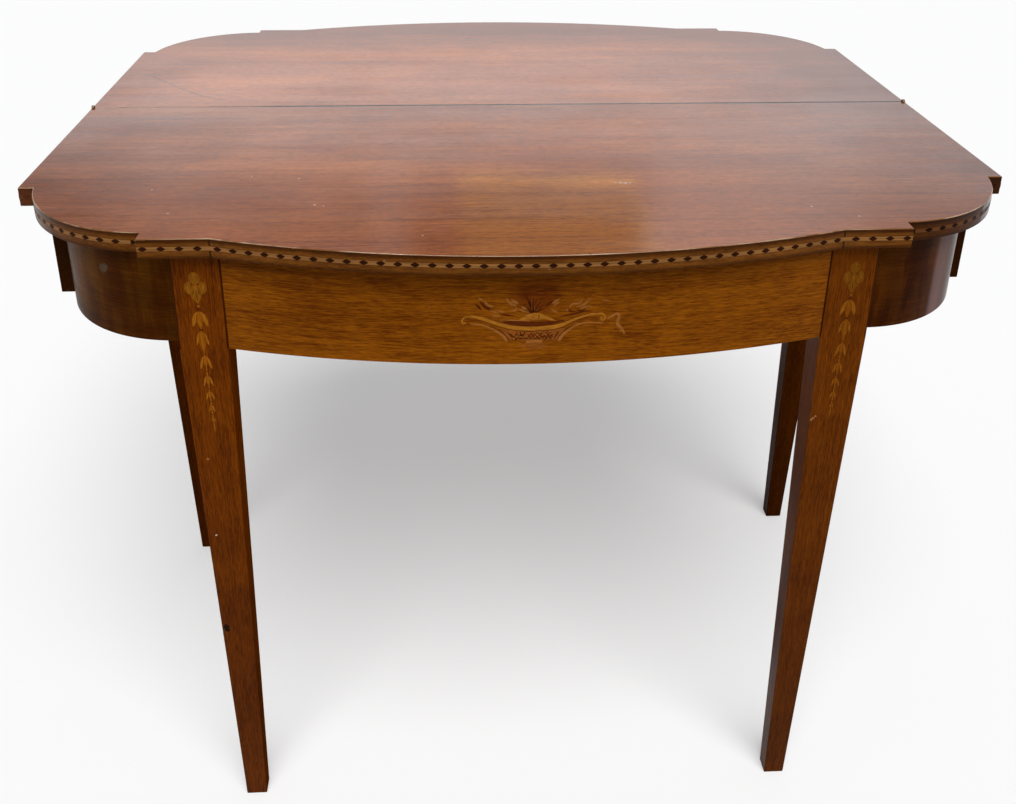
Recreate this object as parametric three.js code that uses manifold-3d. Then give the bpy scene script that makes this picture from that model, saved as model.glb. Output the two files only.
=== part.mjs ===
// Folding top table: bow front, quarter-round corners, one folding leaf and two rear legs that draw out.
// Millimetres, +Z up, +X to the right of someone facing the bow front, +Y to the back.
// The origin is on the floor under the middle of the joint line between the two leaves.
import * as THREE from "three";
import { mergeVertices } from "three/addons/utils/BufferGeometryUtils.js";
import Module from "manifold-3d";

const wasm = await Module();
wasm.setup();

// Top: both leaves have one plan, measured away from the joint line
const topWidth = 1050;
const topHeight = 751;
const leafDepth = 458;
const leafThickness = 20.5;
const bowRise = 49;
const breakWidth = 68;
const frontStep = 16;
const sideStep = 16;
const cornerSpan = 137;
const cornerRise = 31.5;
const sideRun = 274;

// Clearances
const jointGap = 0.3;
const seatGap = 0.3;
const glueGap = 0.3;
const slideGap = 0.5;
const overrun = 2;

// Banding let into the leaf edges
const bandHeight = 5;
const bandDepth = 2;
const bandEndGap = 1.2;

// Front frame
const apronDepth = 105;
const legFaceInset = 12;
const legEndInset = 25;
const bowApronRise = 41.5;
const bowApronThickness = 22;
const cornerSetback = 18;
const cornerRailSetback = 17;
const cornerApronRise = 33.5;
const cornerApronThickness = 20;
const tenonThickness = 10;
const tenonMargin = 16;
const bowTenonLength = 20;
const cornerTenonLength = 12;

// Legs
const legWidth = 48;
const legDepth = 38;
const outerTaper = 14;
const innerTaper = 10;
const depthTaper = 18;

// Side, back and cross rails
const sideOverhang = 24;
const railEndInset = 8;
const railThickness = 22;
const housingDepth = 6;
const innerRailLift = 12;
const backRailThickness = 22;
const crossRailThickness = 20;

// Rear legs on their runners
const rearLegInset = 13;
const closedLegInset = 1;
const legTravel = 130;
const leftLegDraw = 82;
const rightLegDraw = 118;
const runnerThickness = 20;
const runnerHeight = 60;
const runnerLength = 235;
const runnerInset = 1;
const runnerDrop = 11;
const runnerTenonLength = 24;
const runnerTenonMargin = 10;
const stopPegRadius = 3.5;
const stopPegInset = 6;
const stopPegReach = 10;
const stopPegPlay = 0.1;

// Blocks
const blockLength = 28;
const blockMargin = 8;
const cornerBlockGap = 1;
const legBlockWidth = 30;
const legBlockOverhang = 16;

// Card table hinges, let into the two ends of the joint
const foldGap = 0.3;
const plateThickness = 3.2;
const plateLength = 46;
const plateHeight = 12;
const plateDrop = 2;
const knuckleRadius = 2.8;
const knuckleGap = 0.4;
const neckLength = 6;
const neckHeight = 8;
const lapGap = 0.3;
const hingePinRadius = 1.1;
const hingePinPlay = 0.1;
const hingeScrewRadius = 1.4;
const hingeScrewHeadRadius = 2.7;
const hingeScrewHeadDepth = 1.5;
const hingeScrewLength = 18;
const hingeScrewShares = [0.36, 0.8];

// Tongues in the meeting edges
const tongueWidth = 44;
const tongueThickness = 5;
const tongueReach = 6;
const tongueHold = 12;
const tongueDrop = 7.5;
const tongueSwing = 1.6;
const tongueSpacing = 300;

// Screws that hold the fixed leaf to the frame
const topScrewRadius = 2;
const topScrewHeadRadius = 4;
const topScrewHeadDepth = 3;
const topScrewLength = 34;
const topScrewBite = 14;
const railScrewSpacing = 600;

// Inlay in the front faces of the front legs
const inlayDepth = 1;
const rosetteDrop = 20;
const rosetteWidth = 22;
const rosetteHeight = 34;
const rosetteGap = 8;
const rosetteWaistShare = 0.62;
const huskCount = 7;
const huskWidth = 18;
const huskHeight = 20;
const huskGap = 6;
const huskWidthShare = 0.82;
const huskHeightShare = 0.85;
const huskShares = [[0.25, 1], [0.7, 0.68], [1, 0.06], [0.52, 0.34], [0.3, 0.08], [0, 0]];
const stemWidth = 1;
const tailLength = 15;

// Inlay in the bow apron: a basket under a boat-shaped rim, and a spray above it
const basketLift = 22;
const basketFootHeight = 5;
const basketFootWidth = 22;
const basketHeight = 9.5;
const basketNeckWidth = 47;
const basketWidth = 70;
const rimWidth = 130;
const rimRise = 9.5;
const rimThickness = 5.5;
const rimTipThickness = 1.6;
const rimGap = 1.8;
const scrollRadius = 3;
const sprayGap = 5;
const sprayHeight = 32;
const sprayPetalWidth = 6;
const spraySpread = 75;
const sprayPetals = 7;
const sprayOuterShare = 1.9;
const moundWidth = 32;
const moundHeight = 9;
const petalShares = [[0, 0.3], [0.25, 0.8], [0.6, 1], [0.85, 0.6], [1, 0]];

// Facets
const bowSteps = 24;
const cornerSteps = 10;
const rimSteps = 12;
const rosetteSteps = 24;
const roundSides = 12;
const knuckleSides = 20;
const weldDistance = 0.0001;
const leastMitreShare = 0.35;

// Places worked out from the sizes
const halfWidth = topWidth / 2;
const breakY = leafDepth - bowRise;
const breakOuterX = halfWidth - sideStep - cornerSpan;
const breakInnerX = breakOuterX - breakWidth;
const leafBottom = topHeight - leafThickness;
const bandLow = leafBottom + (leafThickness - bandHeight) / 2;
const frameTop = leafBottom - seatGap;
const apronBottom = frameTop - apronDepth;
const legFaceY = breakY - legFaceInset;
const legBackY = legFaceY - legDepth;
const legOuterX = breakOuterX - legEndInset;
const legInnerX = legOuterX - legWidth;
const railOuterX = halfWidth - sideOverhang;
const railInnerX = railOuterX - railThickness;
const railFrontY = sideRun - railEndInset;
const closedLegFaceY = closedLegInset + legDepth;
const railBackY = closedLegFaceY + glueGap;
const rearLegOuterX = railOuterX - rearLegInset;
const rearLegInnerX = rearLegOuterX - legWidth;
const runnerInnerX = rearLegInnerX + runnerInset;
const runnerOuterX = runnerInnerX + runnerThickness;
const runnerTop = frameTop - runnerDrop;
const runnerBottom = runnerTop - runnerHeight;
const runnerFrontY = closedLegFaceY + runnerLength;
const stopPegY = runnerFrontY - stopPegInset;
const crossRailFrontY = stopPegY - stopPegRadius - legTravel - slideGap;
const crossRailBackY = crossRailFrontY - crossRailThickness;
const backRailBackY = closedLegFaceY + seatGap + slideGap;
const backRailFrontY = backRailBackY + backRailThickness;
const innerRailBottom = apronBottom + innerRailLift;
const hingeAxisZ = topHeight + foldGap / 2;
const basketBottom = apronBottom + basketLift;

// Materials
const finish = (color, roughness, metalness = 0) =>
  new THREE.MeshStandardMaterial({ color, roughness, metalness });
const topMahogany = finish(0x8a4a34, 0.18);
const apronMahogany = finish(0x9a5520, 0.3);
const legMahogany = finish(0x6e3312, 0.35);
const cornerMahogany = finish(0x5c3114, 0.28);
const boxwood = finish(0xb98a48, 0.35);
const insideWood = finish(0x8c6a45, 0.75);
const brass = finish(0xb08d4a, 0.35, 1);
const steel = finish(0x77797c, 0.45, 1);

// Solids
const at = (x, y) => new THREE.Vector2(x, y);

function solidOf(geometry) {
  const bare = geometry.clone();
  bare.deleteAttribute("normal");
  bare.deleteAttribute("uv");
  const merged = mergeVertices(bare, weldDistance);
  const mesh = new wasm.Mesh({
    numProp: 3,
    vertProperties: merged.attributes.position.array,
    triVerts: new Uint32Array(merged.index.array),
  });
  return new wasm.Manifold(mesh);
}

function meshOf(name, solid, material) {
  const { vertProperties, triVerts } = solid.getMesh();
  const geometry = new THREE.BufferGeometry();
  geometry.setAttribute("position", new THREE.BufferAttribute(vertProperties, 3));
  geometry.setIndex(new THREE.BufferAttribute(triVerts, 1));
  geometry.computeVertexNormals();
  const mesh = new THREE.Mesh(geometry, material);
  mesh.name = name;
  return mesh;
}

function boxOf(x, y, z) {
  const low = new THREE.Vector3(Math.min(...x), Math.min(...y), Math.min(...z));
  const high = new THREE.Vector3(Math.max(...x), Math.max(...y), Math.max(...z));
  const size = high.clone().sub(low);
  const middle = low.clone().add(high).divideScalar(2);
  const geometry = new THREE.BoxGeometry(size.x, size.y, size.z);
  geometry.translate(middle.x, middle.y, middle.z);
  return solidOf(geometry);
}

// A prism on a plan outline, from one height to another
function prismUp(points, low, high) {
  const shape = new THREE.Shape(points);
  const geometry = new THREE.ExtrudeGeometry(shape, { depth: high - low, bevelEnabled: false });
  geometry.translate(0, 0, low);
  return solidOf(geometry);
}

// A prism on an outline seen from the front, x across and y up, between two places along Y
function prismBack(points, front, back) {
  const shape = new THREE.Shape(points);
  const geometry = new THREE.ExtrudeGeometry(shape, { depth: back - front, bevelEnabled: false });
  geometry.rotateX(Math.PI / 2);
  geometry.translate(0, back, 0);
  return solidOf(geometry);
}

// A round bar along X between two places
function barAcross(radius, x, y, z, sides) {
  const length = Math.abs(x[1] - x[0]);
  const geometry = new THREE.CylinderGeometry(radius, radius, length, sides);
  geometry.rotateZ(Math.PI / 2);
  geometry.translate((x[0] + x[1]) / 2, y, z);
  return solidOf(geometry);
}

// A countersunk screw, its head's flat at the origin and its point along -Z, grown all round by a clearance
function screwShape(radius, headRadius, headDepth, length, grow) {
  const profile = [
    at(0, -length - grow),
    at((radius + grow) / 2, -length - grow),
    at(radius + grow, -length + radius * 2),
    at(radius + grow, -headDepth),
    at(headRadius + grow, 0),
    at(0, 0),
  ];
  const geometry = new THREE.LatheGeometry(profile, roundSides);
  geometry.rotateX(Math.PI / 2);
  return geometry;
}

// Plan outlines
// The circle through two points whose arc rises to the right of travel
function circleThrough(from, to, rise) {
  const chord = to.clone().sub(from);
  const half = chord.length() / 2;
  const radius = (half * half + rise * rise) / (2 * rise);
  const outward = at(chord.y, -chord.x).normalize();
  const centre = from.clone().add(to).divideScalar(2).addScaledVector(outward, rise - radius);
  return { centre, radius };
}

function arcAbout(centre, radius, start, end, steps) {
  return new THREE.ArcCurve(centre.x, centre.y, radius, start, end, false).getPoints(steps);
}

const circleAbout = (centre, radius) =>
  arcAbout(centre, radius, 0, Math.PI * 2, roundSides).slice(0, -1);

function arcBetween(from, to, rise, steps) {
  const { centre, radius } = circleThrough(from, to, rise);
  const start = from.clone().sub(centre).angle();
  const end = to.clone().sub(centre).angle();
  return arcAbout(centre, radius, start, end, steps);
}

const mirroredAcross = (points) => points.map((p) => at(-p.x, p.y)).reverse();

// A leaf's edge from its right end, round its front, to its left end
function leafEdge(start) {
  const cornerBack = at(halfWidth - sideStep, sideRun);
  const cornerFront = at(breakOuterX, breakY - frontStep);
  const right = [
    at(halfWidth, start),
    at(halfWidth, sideRun),
    ...arcBetween(cornerBack, cornerFront, cornerRise, cornerSteps),
    at(breakOuterX, breakY),
  ];
  const bow = arcBetween(at(breakInnerX, breakY), at(-breakInnerX, breakY), bowRise, bowSteps);
  return [...right, ...bow, ...mirroredAcross(right)];
}

// An edge moved inwards by a distance, with mitred corners
function movedIn(points, distance) {
  const last = points.length - 1;
  const normal = (a, b) => at(a.y - b.y, b.x - a.x).normalize();
  return points.map((p, i) => {
    const before = i > 0 ? normal(points[i - 1], p) : normal(p, points[i + 1]);
    const after = i < last ? normal(p, points[i + 1]) : before;
    const mitre = before.clone().add(after).divideScalar(1 + before.dot(after));
    return p.clone().addScaledVector(mitre, distance);
  });
}

// A closed outline grown by a distance, its sharpest points held short
function grownBy(points, distance) {
  const way = THREE.ShapeUtils.isClockWise(points) ? -distance : distance;
  const normal = (a, b) => at(b.y - a.y, a.x - b.x).normalize();
  return points.map((p, i) => {
    const before = normal(points.at(i - 1), p);
    const after = normal(p, points[(i + 1) % points.length]);
    const spread = Math.max(1 + before.dot(after), leastMitreShare);
    return p.clone().addScaledVector(before.add(after), way / spread);
  });
}

const facing = (points, way) => points.map((p) => at(p.x, way * p.y));

// A strip that follows a leaf's edge, between two distances in from it
function edgeStrip(way, start, outer, inner, low, high) {
  const edge = leafEdge(start);
  const ring = [...movedIn(edge, outer), ...movedIn(edge, inner).reverse()];
  return prismUp(facing(ring, way), low, high);
}

// Leaves: way is -1 for the fixed leaf at the front and 1 for the folding leaf at the back
const bandStart = plateLength + bandEndGap;

function leafBlank(way) {
  const outline = facing(leafEdge(jointGap / 2), way);
  const groove = edgeStrip(
    way,
    bandStart - glueGap,
    -overrun,
    bandDepth + glueGap,
    bandLow - glueGap,
    bandLow + bandHeight + glueGap,
  );
  return prismUp(outline, leafBottom, topHeight).subtract(groove);
}

const leafBand = (way) => edgeStrip(way, bandStart, 0, bandDepth, bandLow, bandLow + bandHeight);

// Hinge plates: side is -1 at the left end of the joint and 1 at the right end
function hingePlate(side, way, grow) {
  const outer = halfWidth + (grow ? overrun : 0);
  const inner = halfWidth - plateThickness - grow;
  const top = topHeight - plateDrop;
  const x = [side * inner, side * outer];
  const strip = boxOf(
    x,
    [way * (jointGap / 2), way * (plateLength + grow)],
    [top - plateHeight - grow, top + grow],
  );
  const neck = boxOf(
    x,
    [way * (jointGap / 2), way * (neckLength + grow)],
    [topHeight - neckHeight - grow, topHeight + (grow ? overrun : 0)],
  );
  const knuckle = barAcross(knuckleRadius + (grow ? knuckleGap : 0), x, 0, hingeAxisZ, knuckleSides);
  return strip.add(neck).add(knuckle);
}

// The folding leaf's knuckle takes the outer half of the thickness and the fixed leaf's the inner half
function lappedPlate(side, way) {
  const middle = halfWidth - plateThickness / 2;
  const lap = way > 0
    ? [halfWidth - plateThickness - overrun, middle + lapGap / 2]
    : [middle - lapGap / 2, halfWidth + overrun];
  const reach = neckLength - lapGap;
  const cut = boxOf(
    lap.map((x) => side * x),
    [-reach, reach],
    [topHeight - neckHeight - overrun, topHeight + neckHeight],
  );
  const pinHole = barAcross(
    hingePinRadius + hingePinPlay,
    [side * (halfWidth - plateThickness - overrun), side * (halfWidth + overrun)],
    0,
    hingeAxisZ,
    roundSides,
  );
  return hingePlate(side, way, 0).subtract(cut).subtract(pinHole);
}

function hingePin(side) {
  const x = [side * (halfWidth - plateThickness), side * halfWidth];
  return barAcross(hingePinRadius, x, 0, hingeAxisZ, roundSides);
}

function hingeScrew(side, way, share, grow) {
  const geometry = screwShape(
    hingeScrewRadius,
    hingeScrewHeadRadius,
    hingeScrewHeadDepth,
    hingeScrewLength,
    grow,
  );
  geometry.rotateY(side * Math.PI / 2);
  geometry.translate(side * halfWidth, way * plateLength * share, topHeight - plateDrop - plateHeight / 2);
  return solidOf(geometry);
}

// Tongues: fixed in the folding leaf, they enter slots in the fixed leaf as it opens
function tongue(place, grow) {
  return boxOf(
    [place - tongueWidth / 2 - grow, place + tongueWidth / 2 + grow],
    [-tongueReach, tongueHold + grow],
    [topHeight - tongueDrop - tongueThickness - grow, topHeight - tongueDrop + grow],
  );
}

function tongueSlot(place) {
  return boxOf(
    [place - tongueWidth / 2 - slideGap, place + tongueWidth / 2 + slideGap],
    [-tongueReach - slideGap, overrun],
    [topHeight - tongueDrop - tongueThickness - tongueSwing - slideGap, topHeight - tongueDrop + slideGap],
  );
}

const tonguePlaces = { left: -tongueSpacing, centre: 0, right: tongueSpacing };

// Screws up into the fixed leaf: places by name, with the height of the lower edge that each is sunk from
const railScrewX = railScrewSpacing / 2;
const legBlockX = legInnerX - glueGap - legBlockWidth / 2;
const topScrewPlaces = {
  front_left: [-legBlockX, -legBackY, apronBottom + blockMargin],
  front_right: [legBlockX, -legBackY, apronBottom + blockMargin],
  middle_left: [-railScrewX, -(crossRailBackY + crossRailThickness / 2), innerRailBottom],
  middle_right: [railScrewX, -(crossRailBackY + crossRailThickness / 2), innerRailBottom],
  back_left: [-railScrewX, -(backRailBackY + backRailThickness / 2), innerRailBottom],
  back_right: [railScrewX, -(backRailBackY + backRailThickness / 2), innerRailBottom],
};
const topScrewHeadZ = leafBottom + topScrewBite - topScrewLength;

function topScrew(place, grow) {
  const geometry = screwShape(
    topScrewRadius,
    topScrewHeadRadius,
    topScrewHeadDepth,
    topScrewLength,
    grow,
  );
  geometry.rotateX(Math.PI);
  geometry.translate(place[0], place[1], topScrewHeadZ);
  return solidOf(geometry);
}

// The screw's own hole with the counterbore below its head
function topScrewHole(place) {
  const radius = topScrewHeadRadius + glueGap;
  const depth = topScrewHeadZ - place[2] + overrun;
  const bore = new THREE.CylinderGeometry(radius, radius, depth, roundSides);
  bore.rotateX(Math.PI / 2);
  bore.translate(place[0], place[1], topScrewHeadZ - depth / 2);
  return topScrew(place, glueGap).add(solidOf(bore));
}

const withScrewHoles = (solid, names) =>
  names.reduce((left, name) => left.subtract(topScrewHole(topScrewPlaces[name])), solid);

function fixedLeaf() {
  let leaf = leafBlank(-1);
  for (const side of [-1, 1]) {
    leaf = leaf.subtract(hingePlate(side, -1, glueGap));
    for (const share of hingeScrewShares) leaf = leaf.subtract(hingeScrew(side, -1, share, glueGap));
  }
  for (const place of Object.values(tonguePlaces)) leaf = leaf.subtract(tongueSlot(place));
  return withScrewHoles(leaf, Object.keys(topScrewPlaces));
}

function foldingLeaf() {
  let leaf = leafBlank(1);
  for (const side of [-1, 1]) {
    leaf = leaf.subtract(hingePlate(side, 1, glueGap));
    for (const share of hingeScrewShares) leaf = leaf.subtract(hingeScrew(side, 1, share, glueGap));
  }
  for (const place of Object.values(tonguePlaces)) leaf = leaf.subtract(tongue(place, glueGap));
  return leaf;
}

function hingePlateWithHoles(side, way) {
  return hingeScrewShares.reduce(
    (plate, share) => plate.subtract(hingeScrew(side, way, share, glueGap)),
    lappedPlate(side, way),
  );
}

// Legs
// A leg on the right side with its square top between two places in X, tapered below the apron.
// The faces named by taper move in towards the foot: outer, inner, and the one that faces the frame.
function legBlank(outerX, innerX, plainY, taperedY) {
  const geometry = new THREE.BoxGeometry(1, 1, 1, 1, 1, 2);
  const position = geometry.attributes.position;
  const inwards = Math.sign(plainY - taperedY);
  for (let i = 0; i < position.count; i += 1) {
    const level = Math.round(position.getZ(i) * 2);
    const foot = level < 0 ? 1 : 0;
    const x = position.getX(i) > 0 ? outerX - foot * outerTaper : innerX + foot * innerTaper;
    const y = position.getY(i) > 0 ? plainY : taperedY + foot * inwards * depthTaper;
    position.setXYZ(i, x, y, [0, apronBottom, frameTop][level + 1]);
  }
  if (plainY < taperedY) flip(geometry);
  return geometry;
}

// Turns a geometry's faces round, for a mirrored copy
function flip(geometry) {
  const index = geometry.index.array;
  for (let i = 0; i < index.length; i += 3) [index[i + 1], index[i + 2]] = [index[i + 2], index[i + 1]];
}

function onSide(geometry, side) {
  if (side < 0) {
    geometry.scale(-1, 1, 1);
    flip(geometry);
  }
  return solidOf(geometry);
}

// Tenons on the two aprons that meet a front leg, and on the runner that meets a rear leg
function bowTenon(side, grow) {
  const y = -(legFaceY - bowApronThickness / 2);
  return boxOf(
    [side * (legInnerX - tenonThickness), side * (legInnerX + bowTenonLength + grow)],
    [y - tenonThickness / 2 - grow, y + tenonThickness / 2 + grow],
    [apronBottom + tenonMargin - grow, frameTop - tenonMargin + grow],
  );
}

function cornerTenon(side, grow) {
  const y = -(legFaceY - cornerSetback - cornerApronThickness / 2);
  return boxOf(
    [side * (legOuterX - cornerTenonLength - grow), side * (legOuterX + tenonThickness)],
    [y - tenonThickness / 2 - grow, y + tenonThickness / 2 + grow],
    [apronBottom + tenonMargin - grow, frameTop - tenonMargin + grow],
  );
}

function runnerTenon(side, grow) {
  const x = (runnerInnerX + runnerOuterX) / 2;
  return boxOf(
    [side * (x - tenonThickness / 2 - grow), side * (x + tenonThickness / 2 + grow)],
    [-(closedLegFaceY + tenonThickness), -(closedLegFaceY - runnerTenonLength - grow)],
    [runnerBottom + runnerTenonMargin - grow, runnerTop - runnerTenonMargin + grow],
  );
}

function frontLeg(side) {
  const blank = onSide(legBlank(legOuterX, legInnerX, -legFaceY, -legBackY), side);
  return blank
    .subtract(bowTenon(side, glueGap))
    .subtract(cornerTenon(side, glueGap))
    .subtract(huskDrop(side, glueGap));
}

function rearLeg(side) {
  const blank = onSide(legBlank(rearLegOuterX, rearLegInnerX, -closedLegInset, -closedLegFaceY), side);
  return blank.subtract(runnerTenon(side, glueGap));
}

// Leg inlay: a rosette, then husks that lessen down to a tail, all on one stem
function rosette() {
  const points = [];
  for (let i = 0; i < rosetteSteps; i += 1) {
    const angle = (i / rosetteSteps) * Math.PI * 2;
    const lobe = rosetteWaistShare + (1 - rosetteWaistShare) * Math.abs(Math.cos(2 * angle));
    const x = (rosetteWidth / 2) * lobe * Math.cos(angle);
    const z = (rosetteHeight / 2) * lobe * Math.sin(angle);
    points.push(at(x, z));
  }
  return points;
}

// A husk seen from the front, its tip at the origin: half of it, then the same mirrored
function husk(width, height) {
  const half = huskShares.map(([across, up]) => at((across * width) / 2, up * height));
  return [...half, ...mirroredAcross(half.slice(0, -1))];
}

function huskDrop(side, grow) {
  const centreX = side * (legOuterX - legWidth / 2);
  const front = -legFaceY - (grow ? overrun : 0);
  const back = -legFaceY + inlayDepth + grow;
  const placed = (points, z) =>
    prismBack(grownBy(points, grow).map((p) => at(p.x + centreX, p.y + z)), front, back);
  const rosetteTop = frameTop - rosetteDrop;
  let drop = placed(rosette(), rosetteTop - rosetteHeight / 2);
  let z = rosetteTop - rosetteHeight - rosetteGap;
  for (let i = 0; i < huskCount; i += 1) {
    const height = huskHeight * huskHeightShare ** i;
    drop = drop.add(placed(husk(huskWidth * huskWidthShare ** i, height), z - height));
    z -= height + huskGap;
  }
  const stem = boxOf(
    [centreX - stemWidth / 2 - grow, centreX + stemWidth / 2 + grow],
    [front, back],
    [z + huskGap - tailLength - grow, rosetteTop - rosetteHeight / 2],
  );
  return drop.add(stem);
}

// Bow apron
function bowCurve(setIn) {
  const end = legInnerX - glueGap;
  const curve = arcBetween(at(end, legFaceY), at(-end, legFaceY), bowApronRise, bowSteps);
  return curve.map((p) => at(p.x, -(p.y - setIn)));
}

// The apron's thickness between two distances in from its face
function bowSlab(outer, inner, low, high) {
  return prismUp([...bowCurve(outer), ...bowCurve(inner).reverse()], low, high);
}

function bowApron() {
  return bowSlab(0, bowApronThickness, apronBottom, frameTop)
    .add(bowTenon(-1, 0))
    .add(bowTenon(1, 0))
    .subtract(apronInlay(basketShapes(), glueGap))
    .subtract(apronInlay(rimShapes(), glueGap))
    .subtract(apronInlay(sprayShapes(), glueGap));
}

// Flat shapes seen from the front, joined and let into the face of the bow apron
function apronInlay(shapes, grow) {
  const reach = legFaceY + bowApronRise + overrun;
  const flat = shapes
    .map((points) => prismBack(grownBy(points, grow), -reach, -(legFaceY - bowApronThickness)))
    .reduce((all, one) => all.add(one));
  return flat.intersect(bowSlab(grow ? -overrun : 0, inlayDepth + grow, apronBottom, frameTop));
}

const bothSides = (half) => [...half, ...mirroredAcross(half)];

function basketShapes() {
  const footTop = basketBottom + basketFootHeight;
  const foot = bothSides([
    at(basketFootWidth / 2, basketBottom),
    at(basketFootWidth / 2, footTop + basketHeight / 2),
  ]);
  const bowl = bothSides([
    at(basketNeckWidth / 2, footTop),
    at(basketWidth / 2, footTop + basketHeight),
  ]);
  return [foot, bowl];
}

// The boat-shaped rim over the basket, thick in the middle, with a scroll at each tip
function rimShapes() {
  const bottom = basketBottom + basketFootHeight + basketHeight + rimGap;
  const upper = [];
  const lower = [];
  for (let i = 0; i <= rimSteps; i += 1) {
    const share = (i / rimSteps) * 2 - 1;
    const thickness = rimTipThickness + (rimThickness - rimTipThickness) * (1 - share * share);
    const x = (share * rimWidth) / 2;
    const z = bottom + rimRise * share * share;
    lower.push(at(x, z));
    upper.unshift(at(x, z + thickness));
  }
  const scroll = (side) =>
    circleAbout(at((side * rimWidth) / 2, bottom + rimRise - scrollRadius / 2), scrollRadius);
  return [[...lower, ...upper], scroll(-1), scroll(1)];
}

// A fan of petals out of a low mound
function sprayShapes() {
  const base = basketBottom + basketFootHeight + basketHeight + rimGap + rimThickness + sprayGap;
  const middle = at(0, base + moundHeight / 2);
  const mound = circleAbout(at(0, 0), 1).map((p) =>
    at((p.x * moundWidth) / 2, middle.y + (p.y * moundHeight) / 2),
  );
  const shapes = [mound];
  for (let i = 0; i < sprayPetals; i += 1) {
    const share = (i / (sprayPetals - 1)) * 2 - 1;
    const angle = THREE.MathUtils.degToRad(share * spraySpread);
    const length = (sprayHeight - moundHeight / 2) * (1 + (sprayOuterShare - 1) * share * share);
    const half = petalShares.map(([along, out]) => at((out * sprayPetalWidth) / 2, along * length));
    const petal = [...half, ...mirroredAcross(half.slice(0, -1))];
    shapes.push(petal.map((p) => p.rotateAround(at(0, 0), -angle).add(middle)));
  }
  return shapes;
}

// Quarter-round corner apron, from the front leg to the side rail's front end
function cornerApron(side) {
  const front = at(legOuterX + glueGap, legFaceY - cornerSetback);
  const back = at(railOuterX - cornerRailSetback, railFrontY + glueGap);
  const { centre, radius } = circleThrough(back, front, cornerApronRise);
  const outer = arcBetween(back, front, cornerApronRise, cornerSteps);
  const innerRadius = radius - cornerApronThickness;
  const start = Math.asin((back.y - centre.y) / innerRadius);
  const end = Math.acos((front.x - centre.x) / innerRadius);
  const inner = arcAbout(centre, innerRadius, start, end, cornerSteps).reverse();
  const plan = [...outer, ...inner].map((p) => at(side * p.x, -p.y));
  return prismUp(plan, apronBottom, frameTop).add(cornerTenon(side, 0));
}

// Rails
const housing = (side, y, grow) =>
  boxOf(
    [side * (railInnerX - grow), side * (railInnerX + housingDepth + grow)],
    [-y[0] + grow, -y[1] - grow],
    [innerRailBottom - grow, frameTop + grow],
  );

function sideRail(side) {
  return boxOf([side * railInnerX, side * railOuterX], [-railFrontY, -railBackY], [apronBottom, frameTop])
    .subtract(housing(side, [crossRailBackY, crossRailFrontY], glueGap))
    .subtract(housing(side, [backRailBackY, backRailFrontY], glueGap));
}

// A rail across the inside of the frame, housed in both side rails and slotted for both runners
function innerRail(backY, frontY) {
  const end = railInnerX + housingDepth;
  let rail = boxOf([-end, end], [-frontY, -backY], [innerRailBottom, frameTop]);
  for (const side of [-1, 1]) {
    const slot = boxOf(
      [side * (runnerInnerX - slideGap), side * (runnerOuterX + slideGap)],
      [-(frontY + overrun), -(backY - overrun)],
      [runnerBottom - slideGap, runnerTop + slideGap],
    );
    rail = rail.subtract(slot);
  }
  return rail;
}

function runner(side) {
  const board = boxOf(
    [side * runnerInnerX, side * runnerOuterX],
    [-runnerFrontY, -(closedLegFaceY + glueGap)],
    [runnerBottom, runnerTop],
  );
  return board.add(runnerTenon(side, 0)).subtract(stopPeg(side, stopPegPlay));
}

// A peg through the front end of the runner that stops against the cross rail
function stopPeg(side, grow) {
  const x = [side * (runnerInnerX - stopPegReach), side * (runnerOuterX + grow)];
  return barAcross(stopPegRadius + grow, x, -stopPegY, (runnerTop + runnerBottom) / 2, roundSides);
}

// Blocks
function cornerBlock(side) {
  return boxOf(
    [side * (runnerOuterX + cornerBlockGap), side * (railInnerX - glueGap)],
    [-railFrontY, -(railFrontY - blockLength)],
    [apronBottom + blockMargin, frameTop - blockMargin],
  );
}

// A block in the corner between the bow apron's back and the front leg's inner side
function legBlock(side) {
  const back = -(legBackY - legBlockOverhang);
  const end = legInnerX - glueGap;
  const plan = [...bowCurve(bowApronThickness + glueGap), at(-end, back), at(end, back)];
  const room = prismUp(plan, 0, topHeight);
  const block = boxOf(
    [side * (end - legBlockWidth), side * end],
    [-(legFaceY + bowApronRise), back],
    [apronBottom + blockMargin, frameTop],
  );
  return block.intersect(room);
}

// Assembly
const table = new THREE.Group();
const sides = { left: -1, right: 1 };

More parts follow.
